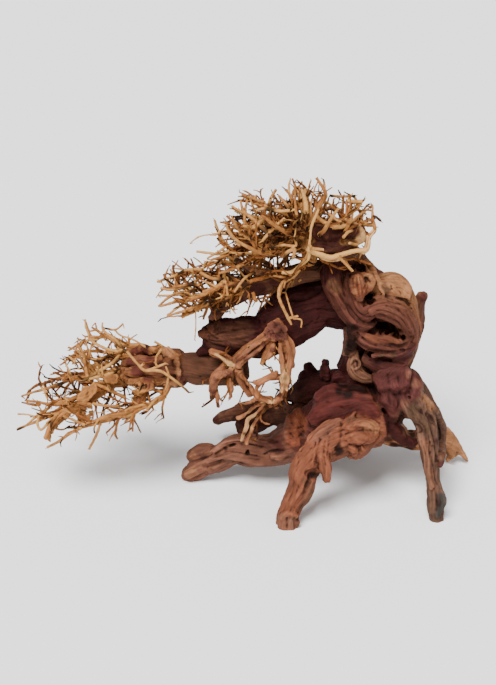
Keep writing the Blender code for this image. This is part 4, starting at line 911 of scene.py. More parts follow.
def drop_crumbs(body: Object, least: int) -> None:
    """Take out the loose crumbs that cutting and joining leave.

    Args:
        body: The object.
        least: Vertices that a loose part must have to stay.
    """
    one, two = read_rows(body.data.edges, "vertices", 2, np.int32).T
    # Each vertex takes the lowest number it can reach, until all of a loose part share one
    part = np.arange(len(body.data.vertices))
    while (part[one] != part[two]).any():
        lower = np.minimum(part[one], part[two])
        np.minimum.at(part, one, lower)
        np.minimum.at(part, two, lower)
        part = part[part]
    small = np.flatnonzero(np.bincount(part, minlength=len(part))[part] < least)
    if len(small):
        grid = bmesh.new()
        grid.from_mesh(body.data)
        grid.verts.ensure_lookup_table()
        bmesh.ops.delete(grid, geom=[grid.verts[int(i)] for i in small], context="VERTS")
        grid.to_mesh(body.data)
        grid.free()


def triangles(body: Object) -> int:
    """Triangles in an object's mesh."""
    return sum(len(face.vertices) - 2 for face in body.data.polygons)


class LatticeNoise:
    """Smooth random field in space, the same for the same seed."""

    CELLS = 256
    # Brings the sum of the slopes to about -1 to 1
    GAIN = 1.7
    # Keeps the layers from lining up
    LAYER_SHIFT = 17.3

    def __init__(self, seed: int) -> None:
        """Draw the table of gradients.

        Args:
            seed: Seed of the field.
        """
        rng = np.random.default_rng(seed)
        self.order = rng.permutation(self.CELLS)
        gradients = rng.normal(size=(self.CELLS, 3))
        self.gradients = gradients / np.linalg.norm(gradients, axis=1, keepdims=True)

    def at(self, points: Array) -> Array:
        """Value of the field, about -1 to 1.

        Args:
            points: Points, one a row, in units of the field's grain.

        Returns:
            One value for each point.
        """
        cell = np.floor(points).astype(np.int64)
        inside = points - cell
        fade = inside ** 3 * (inside * (inside * 6 - 15) + 10)
        total = np.zeros(len(points))
        for corner in itertools.product((0, 1), repeat=3):
            key = np.zeros(len(points), np.int64)
            for axis, step in enumerate(corner):
                key = self.order[(key + cell[:, axis] + step) % self.CELLS]
            slope = ((inside - corner) * self.gradients[key]).sum(axis=1)
            weight = np.prod(np.where(np.array(corner) == 1, fade, 1 - fade), axis=1)
            total += weight * slope
        return total * self.GAIN

    def layered(self, points: Array, layers: int) -> Array:
        """Sum of layers of the field, each finer and fainter by half.

        Args:
            points: Points, one a row.
            layers: How many layers.

        Returns:
            One value for each point.
        """
        total = np.zeros(len(points))
        for number in range(layers):
            total += self.at(points * 2 ** number + self.LAYER_SHIFT * number) / 2 ** number
        return total


@dataclass
class Path:
    """Smooth centre line with radii, running length and a frame that doesn't twist."""

    centres: Array
    radii: Array
    along: Array
    heading: Array
    side: Array
    other: Array

    @classmethod
    def through(cls, points: Sequence[Station], step: float) -> "Path":
        """Lay a smooth line through the points, as a Catmull-Rom curve.

        Args:
            points: x, y, z and radius of each point, in mm.
            step: Spacing of the stations, in mm.

        Returns:
            The path.
        """
        table = np.array(points, float)
        last = len(table) - 1
        rows = []
        for i in range(last):
            before, start = table[max(0, i - 1)], table[i]
            end, after = table[i + 1], table[min(last, i + 2)]
            count = max(1, round(float(np.linalg.norm(end[:3] - start[:3])) / step))
            t = (np.arange(count) / count)[:, None]
            rows.append((start * 2 + (end - before) * t + (before * 2 - start * 5 + end * 4 - after) * t ** 2
                         + (start * 3 - before - end * 3 + after) * t ** 3) / 2)
        rows.append(table[last:])
        return cls.of(np.vstack(rows))

    @classmethod
    def of(cls, table: Array) -> "Path":
        """Make a path of ready stations.

        Args:
            table: x, y, z and radius of each station.

        Returns:
            The path.
        """
        centres, radii = table[:, :3], table[:, 3]
        heading = np.gradient(centres, axis=0)
        heading /= np.linalg.norm(heading, axis=1, keepdims=True) + 1e-12
        lengths = np.linalg.norm(np.diff(centres, axis=0), axis=1)
        along = np.concatenate([[0.0], np.cumsum(lengths)])
        # The first side is square to the start: it comes from the up axis unless the path rises steeply
        side = np.array([0.0, 0.0, 1.0]) if abs(heading[0, 2]) < 0.8 else np.array([0.0, 1.0, 0.0])
        sides = []
        for direction in heading:
            side = side - direction * side.dot(direction)
            side = side / np.linalg.norm(side)
            sides.append(side)
        side_rows = np.array(sides)
        return cls(centres, radii, along, heading, side_rows, np.cross(heading, side_rows))


class MeshParts:
    """Vertices and faces gathered from several tubes and plates."""

    def __init__(self) -> None:
        """Start empty."""
        self.points: List[Array] = []
        self.faces: List[Tuple[int, ...]] = []
        self.count = 0

    def add_rings(self, rings: Array) -> None:
        """Add a closed skin over rings of points.

        Args:
            rings: Points by ring and side.
        """
        count, sides = rings.shape[:2]
        self.points.append(rings.reshape(-1, 3))
        for low in range(self.count, self.count + (count - 1) * sides, sides):
            for k in range(sides):
                after = (k + 1) % sides
                self.faces.append((low + k, low + after, low + sides + after, low + sides + k))
        self.faces.append(tuple(self.count + k for k in reversed(range(sides))))
        self.count += count * sides
        self.faces.append(tuple(self.count - sides + k for k in range(sides)))

    def add_tube(self, path: Path, reach: Array) -> None:
        """Add a closed tube.

        Args:
            path: Centre line of the tube.
            reach: Distance from the centre line, one row for each station and one column for each side.
        """
        angles = 2 * np.pi * np.arange(reach.shape[1]) / reach.shape[1]
        spokes = (path.side[:, None, :] * np.cos(angles)[None, :, None]
                  + path.other[:, None, :] * np.sin(angles)[None, :, None])
        self.add_rings(path.centres[:, None, :] + spokes * reach[:, :, None])

    def add_plate(self, corners: Sequence[Station], thick: float) -> None:
        """Add a thin closed plate.

        Args:
            corners: Corners of the plate, in order.
            thick: Its thickness in mm.
        """
        outline = np.array(corners)
        across = np.cross(outline[1] - outline[0], outline[2] - outline[0])
        across *= thick / 2 / np.linalg.norm(across)
        self.add_rings(np.stack([outline - across, outline + across]))

    def to_object(self, name: str) -> Object:
        """An object of all that was gathered."""
        return new_mesh(name, np.vstack(self.points), [], self.faces)


class Surface:
    """Arrays of an object's mesh, in mm and in the frame of the route tables."""

    def __init__(self, body: Object) -> None:
        """Read the mesh.

        Args:
            body: Object that holds the mesh.
        """
        self.data = body.data
        self.points = read_rows(self.data.vertices, "co", 3, np.float32).astype(float) / MM
        self.points[:, :2] += BOX_CENTRE
        self.edges = read_rows(self.data.edges, "vertices", 2, np.int32)
        self.degree = np.maximum(np.bincount(self.edges.ravel(), minlength=len(self.points)), 1)

    def normals(self) -> Array:
        """Outward unit normal of each vertex."""
        return read_rows(self.data.vertex_normals, "vector", 3, np.float32).astype(float)

    def smoothed(self, values: Array, passes: int) -> Array:
        """Average each vertex with its neighbours.

        Args:
            values: One row for each vertex.
            passes: How many times.

        Returns:
            The averaged rows.
        """
        first, second = self.edges.T
        count = len(values)
        rows = values.copy()
        for _ in range(passes):
            total = np.empty_like(rows)
            for axis in range(rows.shape[1]):
                column = rows[:, axis]
                total[:, axis] = (np.bincount(first, column[second], count)
                                  + np.bincount(second, column[first], count))
            rows = 0.5 * rows + 0.5 * total / self.degree[:, None]
        return rows

    def write_back(self) -> None:
        """Store the points in the mesh, kept inside the CAD box."""
        points = self.points.copy()
        points[:, :2] -= BOX_CENTRE
        self.data.vertices.foreach_set("co", np.clip(points * MM, *CAD_BOX).astype(np.float32).ravel())
        self.data.update()

    def hollowness(self, passes: int, reach: float) -> Array:
        """How deep each vertex lies in a crease, from 1 in a crease to -1 on a ridge.

        Args:
            passes: Smoothing passes, more for wider creases.
            reach: Depth in mm that counts as 1.

        Returns:
            One value for each vertex.
        """
        shift = self.smoothed(self.points, passes) - self.points
        return np.clip((shift * self.normals()).sum(axis=1) / reach, -1, 1)


@dataclass(frozen=True)
class WoodFinish:
    """Weathered root wood: water-worn, dry and matt, with fibres that run along each root.

    The eye sees long fine fibres, painted shade in the creases, worn ridges with a painted highlight, and
    slow blotches.
    """

    name: str
    roughness: float = 0.62
    specular: float = 0.06
    fibre_mm: float = 1.7
    stretch: float = 0.09
    blotch_mm: float = 16.0
    speck_mm: float = 1.1
    fibre_bump_mm: float = 0.45
    grit_bump_mm: float = 0.25
    # Colour of the painted shade that darkens the creases
    crease: str = "20100D"
    # What worn ridges are multiplied by: lighter, partly as wear and partly as a painted highlight
    rubbed_highlight: Colour = (1.75, 1.85, 1.9, 1.0)
    fibre_light: Range = (0.3, 0.72, 0.62, 1.3)
    blotch_light: Range = (0.3, 0.7, 0.72, 1.22)
    # How far the ridges are lightened, partly as wear and partly as a painted highlight
    ridge_wear_highlight: Range = (-0.15, -0.9, 0.0, 0.55)
    # How far the creases are darkened by hollowness, as painted shade
    painted_crease_shade: Range = (0.1, 0.85, 0.0, 0.88)

    def material(self) -> Material:
        """Build the node material.

        Returns:
            The material.
        """
        material, tree, shader = new_material(self.name)
        tint, grain, hollow = (add_node(tree, "ShaderNodeAttribute", attribute_name=name)
                               for name in ("tint", "grain", "hollow"))
        place = add_node(tree, "ShaderNodeTexCoord").outputs["Object"]
        # The grain attribute is in mm, so a scale of 1 / fibre_mm gives fibres that wide
        unit = 1 / self.fibre_mm
        line = add_node(tree, "ShaderNodeMapping", {"Vector": grain.outputs["Vector"],
                                                    "Scale": (unit, unit, unit * self.stretch)})
        fibre, blotch, speck = (
            add_node(tree, "ShaderNodeTexNoise", {"Vector": vector, "Scale": scale, "Detail": detail,
                                                  "Roughness": rough})
            for vector, scale, detail, rough in (
                (line, 1.0, 5.0, 0.62), (place, MM_PER_METRE / self.blotch_mm, 4.0, 0.55),
                (place, MM_PER_METRE / self.speck_mm, 3.0, 0.6)))
        # Fibres that stand out are a little rougher than those between them
        fibre_rough = (0.3, 0.7, self.roughness - 0.1, self.roughness + 0.15)
        depth = hollow.outputs["Fac"]
        fibre_light, blotch_light, wear_highlight, crease_shade_mask, rough = (
            add_node(tree, "ShaderNodeMapRange", dict(enumerate((value, *ends))))
            for value, ends in ((fibre, self.fibre_light), (blotch, self.blotch_light),
                                (depth, self.ridge_wear_highlight), (depth, self.painted_crease_shade),
                                (fibre, fibre_rough)))
        light = add_node(tree, "ShaderNodeMath", {0: fibre_light, 1: blotch_light}, operation="MULTIPLY")
        skin = add_node(tree, "ShaderNodeVectorMath", {0: tint.outputs["Color"], "Scale": light},
                        operation="SCALE")
        rubbed_highlight = add_node(tree, "ShaderNodeMix", {0: 1.0, 6: skin, 7: self.rubbed_highlight}, data_type="RGBA",
                          blend_type="MULTIPLY").outputs[2]
        # Ridges are lightened, partly as wear and partly as a painted highlight
        worn = add_node(tree, "ShaderNodeMix", {0: wear_highlight, 6: skin, 7: rubbed_highlight}, data_type="RGBA").outputs[2]
        # Creases are darkened towards the crease colour as painted shade
        crease_shaded = add_node(tree, "ShaderNodeMix", {0: crease_shade_mask, 6: worn, 7: linear(self.crease)},
                         data_type="RGBA").outputs[2]
        lines = add_node(tree, "ShaderNodeBump", {"Height": fibre, "Strength": 0.9,
                                                  "Distance": self.fibre_bump_mm * MM})
        grit = add_node(tree, "ShaderNodeBump", {"Height": speck, "Strength": 0.5, "Normal": lines,
                                                 "Distance": self.grit_bump_mm * MM})
        feed(tree, shader, {"Base Color": crease_shaded, "Roughness": rough, "Normal": grit, "Metallic": 0.0,
                            "Specular IOR Level": self.specular})
        return material


@dataclass(frozen=True)
class RootletFinish:
    """Dry fine roots with the bark worn off: tan to gold, blackened at some tips."""

    name: str
    light: str = "BD8D52"
    middle: str = "865128"
    dark: str = "36190A"
    burnt: str = "100906"
    roughness: float = 0.6
    specular: float = 0.06
    blotch_mm: float = 3.0
    blotch_share: float = 0.7
    bump_mm: float = 0.5

    def material(self) -> Material:
        """Build the node material.

        Returns:
            The material.
        """
        material, tree, shader = new_material(self.name)
        tone, char = (add_node(tree, "ShaderNodeAttribute", attribute_name=name).outputs["Fac"]
                      for name in ("tone", "char"))
        place = add_node(tree, "ShaderNodeTexCoord").outputs["Object"]
        # Blotches along the roots, the smallest that the picture can show
        blotch = add_node(tree, "ShaderNodeTexNoise", {
            "Vector": place, "Scale": MM_PER_METRE / self.blotch_mm, "Detail": 4.0})
        mixed = add_node(tree, "ShaderNodeMath", {0: blotch, 1: self.blotch_share,
                                                  2: -self.blotch_share / 2}, operation="MULTIPLY_ADD")
        # The tone carries the painted light and shade across the spray
        total = add_node(tree, "ShaderNodeMath", {0: mixed, 1: tone}, operation="ADD")
        ramp = add_node(tree, "ShaderNodeValToRGB", {0: total})
        stops = ramp.color_ramp.elements
        stops.new(0.5)
        for stop, at, colour in zip(stops, (0.05, 0.5, 0.95), (self.dark, self.middle, self.light)):
            stop.position, stop.color = at, linear(colour)
        burnt = add_node(tree, "ShaderNodeMix", {0: char, 6: ramp, 7: linear(self.burnt)},
                         data_type="RGBA").outputs[2]
        bump = add_node(tree, "ShaderNodeBump", {"Height": blotch, "Strength": 0.5,
                                                 "Distance": self.bump_mm * MM})
        feed(tree, shader, {"Base Color": burnt, "Normal": bump, "Metallic": 0.0,
                            "Roughness": self.roughness, "Specular IOR Level": self.specular})
        return material


@dataclass
class WoodPiece:
    """A wood piece that its roots make where they grow together, with sizes in mm.

    The flute is a share of the radius, and the twist is in radians per mm.
    """

    name: str
    node: str
    slot: str
    roots: Routes
    tones: Dict[str, Tone]
    tone: Tone = Tone.RUST
    strands: Routes = field(default_factory=dict)
    hollows: Routes = field(default_factory=dict)
    creases: Routes = field(default_factory=dict)
    plates: Routes = field(default_factory=dict)
    paint: Sequence[Patch] = ()
    most_triangles: int = 180000
    voxel: float = 0.8
    relax: int = 5
    sides: int = 28
    flute: float = 0.16
    twist: float = 0.012
    lump: float = 0.9
    crack: float = 0.7
    pit: float = 2.4
    fibre: float = 0.3
    crease_share: float = 1.0
    seed: int = 1

    # Spacing of the stations along roots and hollows, strands, and creases
    ROOT_STEP, STRAND_STEP, CREASE_STEP = 2.0, 1.5, 0.7
    # Noise numbers start apart, so that no two tubes are alike
    HOLLOW_NUMBER, STUB_NUMBER, STRAND_NUMBER = 50, 70, 80
    STRAND_FLUTE, HOLLOW_FLUTE = 0.2, 0.25
    FLUTES_ROUND, FLUTE_MM = 1.5, 34.0
    # How far past its last station a tube is rounded, and how thin it is there, in radii
    END_REACH, END_RADIUS = 0.45, 0.62
    PLATE_MM, STUB_RADIUS = 2.3, 2.0
    # Loose parts of fewer vertices are crumbs
    CRUMB = 300
    # A crease is cut this much deeper than its mean radius, and reaches no further than its margin
    CREASE_DEPTH, CREASE_MARGIN = 1.35, 5.0
    # Grain of the lumps, pits, patches with cracks, and ragged edges of colour
    LUMP_MM, PIT_MM, CRACKED_MM, RAGGED_MM = 15.0, 4.6, 22.0, 6.0
    # Grain of the ridges, fibres and cracks per mm: twice across the root, then along it
    RIDGES, FIBRES, CRACKS = (1 / np.array(size) for size in ((5.0, 5.0, 48.0), (2.2, 2.2, 26.0),
                                                              (6.5, 6.5, 55.0)))
    RIDGE_SHARE, PIT_LEVEL, CRACK_WIDTH, CRACKED_SHARE = 2.2, 0.42, 0.07, 0.55
    # Worn skin is rough again past this much of a patch's reach, and colour ends a little earlier
    WORN_END, WORN_FADE = 1.4, 0.6
    PATCH_END, PATCH_FADE, PATCH_RAGGED = 1.15, 0.5, 0.22
    # Width over which the fibres of one root turn into the next one's, and its colour fades
    FIBRE_FADE, COLOUR_FADE = 2.0, 4.0
    # Smoothing passes, depth in mm that counts as 1, and weight of the narrow and the wide creases
    NARROW, WIDE = (3, 0.35, 0.5), (24, 1.6, 1.0)

    def paths(self) -> Dict[str, Path]:
        """Smooth centre lines of the roots."""
        return {name: Path.through(points, self.ROOT_STEP) for name, points in self.roots.items()}

    def noise(self, number: int) -> LatticeNoise:
        """One of the random fields of the piece's own skin."""
        return LatticeNoise(self.seed * 10 + number)

    def tube_reach(self, path: Path, number: int, flute: float) -> Array:
        """Fluted, irregular outline of a root.

        Args:
            path: Centre line of the root.
            number: Number of the root, so that no two are alike.
            flute: Depth of the flutes, as a share of the radius.

        Returns:
            Reach of each station and side.
        """
        noise = LatticeNoise(self.seed * 100 + number)
        angles = 2 * np.pi * np.arange(self.sides) / self.sides
        turned = angles[None, :] + self.twist * path.along[:, None]
        rows = np.stack([np.cos(turned) * self.FLUTES_ROUND, np.sin(turned) * self.FLUTES_ROUND,
                         np.broadcast_to(path.along[:, None] / self.FLUTE_MM, turned.shape)], axis=-1)
        wave = noise.layered(rows.reshape(-1, 3), 2).reshape(turned.shape)
        return path.radii[:, None] * (1 + flute * wave)

    def with_ends(self, path: Path) -> Path:
        """The path with a smaller station past each end, so that the end is rounded.

        Args:
            path: The path.

        Returns:
            The longer path.
        """
        table = np.column_stack([path.centres, path.radii])
        first, final = (
            np.append(table[end, :3] + side * path.heading[end] * table[end, 3] * self.END_REACH,
                      table[end, 3] * self.END_RADIUS) for end, side in ((0, -1), (-1, 1)))
        return Path.of(np.vstack([first, table, final]))

    def add_tubes(self, parts: MeshParts, lines: Routes, step: float, number: int, flute: float) -> None:
        """Add a fluted tube with rounded ends along each line.

        Args:
            parts: What the tubes are added to.
            lines: Centre lines of the tubes.
            step: Spacing of their stations.
            number: Noise number of the first tube.
            flute: Depth of the flutes, as a share of the radius.
        """
        for offset, points in enumerate(lines.values()):
            ended = self.with_ends(Path.through(points, step))
            parts.add_tube(ended, self.tube_reach(ended, number + offset, flute))

    def even_skin(self, body: Object) -> None:
        """Grow an object's parts together under one skin of small, even faces."""
        modify(body, "Even skin", "REMESH", mode="VOXEL", voxel_size=self.voxel * MM)
        settle(body)

    def rough_shape(self) -> Object:
        """Grow the roots together, with the hollows cut out.

        Returns:
            Object with an even skin over the whole piece.
        """
        parts = MeshParts()
        self.add_tubes(parts, self.roots, self.ROOT_STEP, 0, self.flute)
        self.add_tubes(parts, self.strands, self.STRAND_STEP, self.STRAND_NUMBER, self.STRAND_FLUTE)
        centres = np.vstack([path.centres for path in self.paths().values()])
        for corners in self.plates.values():
            parts.add_plate(corners, self.PLATE_MM)
            middle = np.mean(corners, axis=0)
            foot = centres[np.argmin(np.linalg.norm(centres - middle, axis=1))]
            stub = Path.through([(*end, self.STUB_RADIUS) for end in (middle, foot)], self.STRAND_STEP)
            parts.add_tube(stub, self.tube_reach(stub, self.STUB_NUMBER, self.STRAND_FLUTE))
        body = parts.to_object(self.name)
        self.even_skin(body)
        if self.hollows:
            cuts = MeshParts()
            self.add_tubes(cuts, self.hollows, self.ROOT_STEP, self.HOLLOW_NUMBER, self.HOLLOW_FLUTE)
            cutter = cuts.to_object(self.name + "_hollows")
            self.even_skin(cutter)
            modify(body, "Hollows", "BOOLEAN", operation="DIFFERENCE", solver="MANIFOLD", object=cutter)
            self.even_skin(body)
            bpy.data.objects.remove(cutter)
        drop_crumbs(body, self.CRUMB)
        modify(body, "Worn", "SMOOTH", factor=0.5, iterations=self.relax)
        settle(body)
        return body

    def follow(self, points: Array, softness: float) -> Tuple[Array, Array]:
        """Find the root that each point lies on.

        Args:
            points: Points on the skin.
            softness: Width over which one root fades into the next.

        Returns:
            Grain coordinates, straightened along the nearest roots, and the share of each root.
        """
        paths = list(self.paths().values())
        gaps = np.empty((len(points), len(paths)))
        coords = np.empty((len(paths), len(points), 3))
        for number, path in enumerate(paths):
            square = (points ** 2).sum(axis=1)[:, None] - 2 * points @ path.centres.T
            nearest = np.argmin(square + (path.centres ** 2).sum(axis=1)[None, :], axis=1)
            away = points - path.centres[nearest]
            ahead, across, upward = ((away * axes[nearest]).sum(axis=1)
                                     for axes in (path.heading, path.side, path.other))
            gaps[:, number] = np.linalg.norm(away, axis=1) - path.radii[nearest]
            reach = path.along[nearest] + ahead
            turn = self.twist * reach
            coords[number, :, 0] = across * np.cos(turn) + upward * np.sin(turn)
            coords[number, :, 1] = upward * np.cos(turn) - across * np.sin(turn)
            coords[number, :, 2] = reach
        shares = np.exp(-(gaps - gaps.min(axis=1, keepdims=True)) / softness)
        shares /= shares.sum(axis=1, keepdims=True)
        # Squared shares let the fibres change over faster than the colour
        sharp = shares ** 2
        sharp /= sharp.sum(axis=1, keepdims=True)
        return np.einsum("pn,npc->pc", sharp, coords), shares

    def crease_depth(self, points: Array) -> Array:
        """Depth of the traced creases at each point."""
        depth = np.zeros(len(points))
        for stations in self.creases.values():
            path = Path.through(stations, self.CREASE_STEP)
            low, high = (path.centres.min(axis=0) - self.CREASE_MARGIN,
                         path.centres.max(axis=0) + self.CREASE_MARGIN)
            near = np.flatnonzero(((points > low) & (points < high)).all(axis=1))
            if not len(near):
                continue
            square = (((points[near][:, None, :] - path.centres[None, :, :]) / path.radii[None, :, None])
                      ** 2).sum(axis=2)
            depth[near] = np.maximum(depth[near], np.exp(-square.min(axis=1)) * path.radii.mean()
                                     * self.CREASE_DEPTH)
        return depth

    def relief(self, points: Array, grain: Array) -> Array:
        """Height of the worn surface over the plain skin.

        Args:
            points: Points on the skin.
            grain: Their grain coordinates.

        Returns:
            One height for each point.
        """
        lumps = self.noise(1).layered(points / self.LUMP_MM, 3) * self.lump
        pits = np.clip(self.noise(6).at(points / self.PIT_MM) - self.PIT_LEVEL, 0, 1) * self.pit
        ridges = self.noise(2).layered(grain * self.RIDGES, 2) * self.fibre * self.RIDGE_SHARE
        fibres = self.noise(3).layered(grain * self.FIBRES, 2) * self.fibre
        where = np.clip(self.CRACKED_SHARE + self.noise(5).at(points / self.CRACKED_MM), 0, 1)
        cracks = np.exp(-(self.noise(4).at(grain * self.CRACKS) / self.CRACK_WIDTH) ** 2) * where * self.crack
        rough = np.ones(len(points))
        for x, y, z, reach, tone, _ in self.paint:
            if tone in WORN_SMOOTH:
                away = np.linalg.norm(points - (x, y, z), axis=1) / reach
                worn = np.clip((self.WORN_END - away) / self.WORN_FADE, 0, 1) * WORN_SMOOTH[tone]
                rough = np.minimum(rough, 1 - worn)
        plain = lumps + ridges + fibres - cracks - pits
        return plain * rough - self.crease_depth(points) * self.crease_share

    def tint(self, points: Array, shares: Array) -> Array:
        """Skin colour of each point.

        Args:
            points: Points on the skin.
            shares: Share of each root at each point.

        Returns:
            Linear RGBA, one row for each point.
        """
        table = np.array([linear(self.tones.get(name, self.tone).value) for name in self.roots])
        colours = shares @ table
        ragged = self.noise(7).layered(points / self.RAGGED_MM, 2)
        for x, y, z, reach, tone, share in self.paint:
            away = np.linalg.norm(points - (x, y, z), axis=1) / reach + ragged * self.PATCH_RAGGED
            cover = np.clip((self.PATCH_END - away) / self.PATCH_FADE, 0, 1)[:, None] * share
            colours += (np.array(linear(tone.value)) - colours) * cover
        return colours

    def build(self, finish: Material) -> Object:
        """Make the finished piece.

        Args:
            finish: Material of the piece.

        Returns:
            The object.
        """
        body = self.rough_shape()
        surface = Surface(body)
        grain, _ = self.follow(surface.points, self.FIBRE_FADE)
        surface.points += surface.normals() * self.relief(surface.points, grain)[:, None]
        surface.points[:, 2] = np.maximum(surface.points[:, 2], 0.0)
        surface.write_back()
        count = triangles(body)
        if count > self.most_triangles:
            modify(body, "Fewer triangles", "DECIMATE", ratio=self.most_triangles / count)
            settle(body)
            surface = Surface(body)
            surface.write_back()
            grain, _ = self.follow(surface.points, self.FIBRE_FADE)
        # How hollow the skin is, which the finish turns into painted shade in the creases and a painted
        # highlight on the ridges
        hollow = np.clip(sum(surface.hollowness(passes, depth) * weight
                             for passes, depth, weight in (self.NARROW, self.WIDE)), -1, 1)
        _, shares = self.follow(surface.points, self.COLOUR_FADE)
        for name, values in (("grain", grain), ("hollow", hollow),
                             ("tint", self.tint(surface.points, shares))):
            store(body, name, values)
        body.data.materials.clear()
        body.data.materials.append(finish)
        body.data.shade_smooth()
        return body


@dataclass
class RootletRule:
    """How the side roots of a spray grow, in mm. Their tips stay in an ellipsoid."""

    seed: int
    centre: Triple
    reach: Triple
    lean: Triple = (-0.3, 0.0, 0.0)
    spacing: float = 4.4
    length: float = 25.0
    radius: float = 1.3
    fork_spacing: float = 9.0
    fork_share: float = 0.5
    fork_radius: float = 0.72
    wander: float = 0.11
    drift: float = 0.07
    step: float = 2.6
    tip: float = 0.52
    tries: int = 5
    fork_start: float = 0.3
    lean_share: float = 0.35
    # Each try is this much shorter, and a side root is at most this thick beside its carrier
    try_shorter: float = 0.12
    carrier_share: float = 0.85
    # Draws: how far out a tip may be, angles in radians, and shares of the gaps and sizes
    slack: Draw = (0.84, 1.06)
    opening: Draw = (0.45, 1.25)
    stray: Draw = (-0.4, 0.4)
    first_gap: Draw = (0.2, 0.8)
    gaps: Draw = (0.5, 1.5)
    lengths: Draw = (0.5, 1.35)
    radii: Draw = (0.8, 1.2)
    knots: Draw = (0.9, 1.12)


@dataclass
class Rootlet:
    """One fine root: its points and radii in mm, its tone and how black its tip is."""

    points: Array
    radii: Array
    tone: float
    char: float


@dataclass
class FineRoots:
    """The fine roots of a spray, each a tube along its own line. Sizes are in mm."""

    name: str
    node: str
    slot: str
    routes: Routes
    rule: RootletRule
    sticks: Routes = field(default_factory=dict)
    spots: Routes = field(default_factory=dict)
    brighter: float = -0.04
    burnt_share: float = 0.3
    bough_share: float = 0.68
    sides: int = 6
    spur_every_mm: float = 15.0
    spur_mm: float = 3.4

    ROOT_STEP = 1.5
    # Stations of a link between fine roots, and its radius as a share of the stick's
    LINK_STEP, LINK_SHARE = 2.0, 0.9
    # Side roots that follow each other stand this angle apart, and a failed try turns less
    GOLDEN_ANGLE, RETRY_TURN = 2.39996, 1.3
    # Routes with a station as thick as this are cores, which the wood pieces make
    CORE_RADIUS = 5.0
    # Stations of a bough thinner than this aren't slimmed to bough_share, but to this share
    TWIG_RADIUS, TWIG_SHARE = 1.6, 0.9
    STICK_BURNT_SHARE = 0.3
    # Burnt tips blacken past this share of their length, and over this share
    BURNT_FROM, BURNT_FADE = 0.62, 0.25
    # Burnt spots fade out at this much of their reach, over this much, and are this black
    SPOT_END, SPOT_FADE, SPOT_BLACK = 1.25, 0.5, 0.92
    # Tone at the middle, the painted light that the outside and the top add to it, the painted shade that the
    # back adds, and its spread
    TONE_MIDDLE, TONE_OUT, TONE_UP, TONE_BACK, TONE_SPREAD = 0.02, 0.62, 0.16, -0.06, 0.2
    BOUGH_TONES, STICK_TONES, BURNT_TONES = (0.5, 0.8), (0.5, 0.9), (0.7, 1.0)
    # A tone over 1 marks the pale sticks, which no burnt spot blackens
    PALE_TONE = 1.05

    def tone_at(self, rng: Rng, point: Array) -> float:
        """Tone of a fine root, with painted shade inside the cloud and at the back, and painted light outside
        and on top.

        Args:
            rng: Source of the random draws.
            point: Its tip.

        Returns:
            The tone, from 0, dark, to 1, light.
        """
        offset = (point - np.array(self.rule.centre)) / np.array(self.rule.reach)
        outward = min(1.0, float(np.linalg.norm(offset)))
        # Painted light on the outside and top of the cloud, and painted shade inside it and at the back
        lit = (self.brighter + self.TONE_MIDDLE + self.TONE_OUT * outward
               + self.TONE_UP * float(offset[2]) + self.TONE_BACK * float(offset[1]))
        return float(np.clip(lit + rng.normal(0, self.TONE_SPREAD), 0.0, 1.0))

    def burnt_tip(self, rng: Rng, share: float) -> float:
        """How black a tip is, with this share of the tips burnt."""
        return float(rng.uniform(*self.BURNT_TONES)) if rng.random() < share else 0.0

    def wandering(self, rng: Rng, root: Array, heading: Array, length: float,
                  radius: float) -> Rootlet:
        """Grow one fine root that wanders a little as it goes.

        Args:
            rng: Source of the random draws.
            root: Where it starts.
            heading: Its first direction.
            length: Its length.
            radius: Its radius at the root.

        Returns:
            The fine root.
        """
        rule = self.rule
        count = max(3, int(length / rule.step) + 1)
        step = length / (count - 1)
        points = [root]
        drift = rng.normal(size=3) * rule.drift
        direction = heading
        for _ in range(count - 1):
            direction = direction + drift + rng.normal(size=3) * rule.wander
            direction = direction / np.linalg.norm(direction)
            points.append(points[-1] + direction * step)
        share = np.linspace(0, 1, count)
        radii = radius * (1 - (1 - rule.tip) * share) * rng.uniform(*rule.knots, count)
        tone = self.tone_at(rng, points[-1])
        return Rootlet(np.array(points), radii, tone, self.burnt_tip(rng, self.burnt_share))

    def inside(self, point: Array, slack: float) -> bool:
        """Whether a point lies in the spray's cloud, widened by the slack."""
        offset = (point - np.array(self.rule.centre)) / (np.array(self.rule.reach) * slack)
        return bool((offset ** 2).sum() <= 1.0)

    def side_roots(self, rng: Rng, path: Path, spacing: float, length: float,
                   radius: float, start: float) -> List[Rootlet]:
        """Grow side roots along a path.

        Args:
            rng: Source of the random draws.
            path: The path that carries them.
            spacing: Mean distance between them.
            length: Mean length.
            radius: Radius at their roots.
            start: Share of the path that stays bare.

        Returns:
            The side roots.
        """
        rule = self.rule
        grown = []
        total = float(path.along[-1])
        travelled = total * start + spacing * rng.uniform(*rule.first_gap)
        turn = rng.uniform(0, 2 * np.pi)
        while travelled < total:
            place = min(int(np.searchsorted(path.along, travelled)), len(path.along) - 1)
            thick = float(path.radii[place])
            slack = rng.uniform(*rule.slack)
            for attempt in range(rule.tries):
                opening = rng.uniform(*rule.opening)
                spoke = (path.side[place] * np.cos(turn) + path.other[place] * np.sin(turn))
                heading = (path.heading[place] * np.cos(opening) + spoke * np.sin(opening)
                           + np.array(rule.lean) * rule.lean_share)
                heading /= np.linalg.norm(heading)
                # Side roots shorten from 1.1 to 0.7 of the mean towards the end of the path
                size = (length * rng.uniform(*rule.lengths) * (1.1 - 0.4 * travelled / total)
                        * (1 - rule.try_shorter * attempt) + thick)
                if self.inside(path.centres[place] + heading * size, slack):
                    wide = min(radius, thick * rule.carrier_share) * rng.uniform(*rule.radii)
                    grown.append(self.wandering(rng, path.centres[place], heading, size, wide))
                    break
                turn += self.RETRY_TURN
            turn += self.GOLDEN_ANGLE + rng.uniform(*rule.stray)
            travelled += spacing * rng.uniform(*rule.gaps)
        return grown

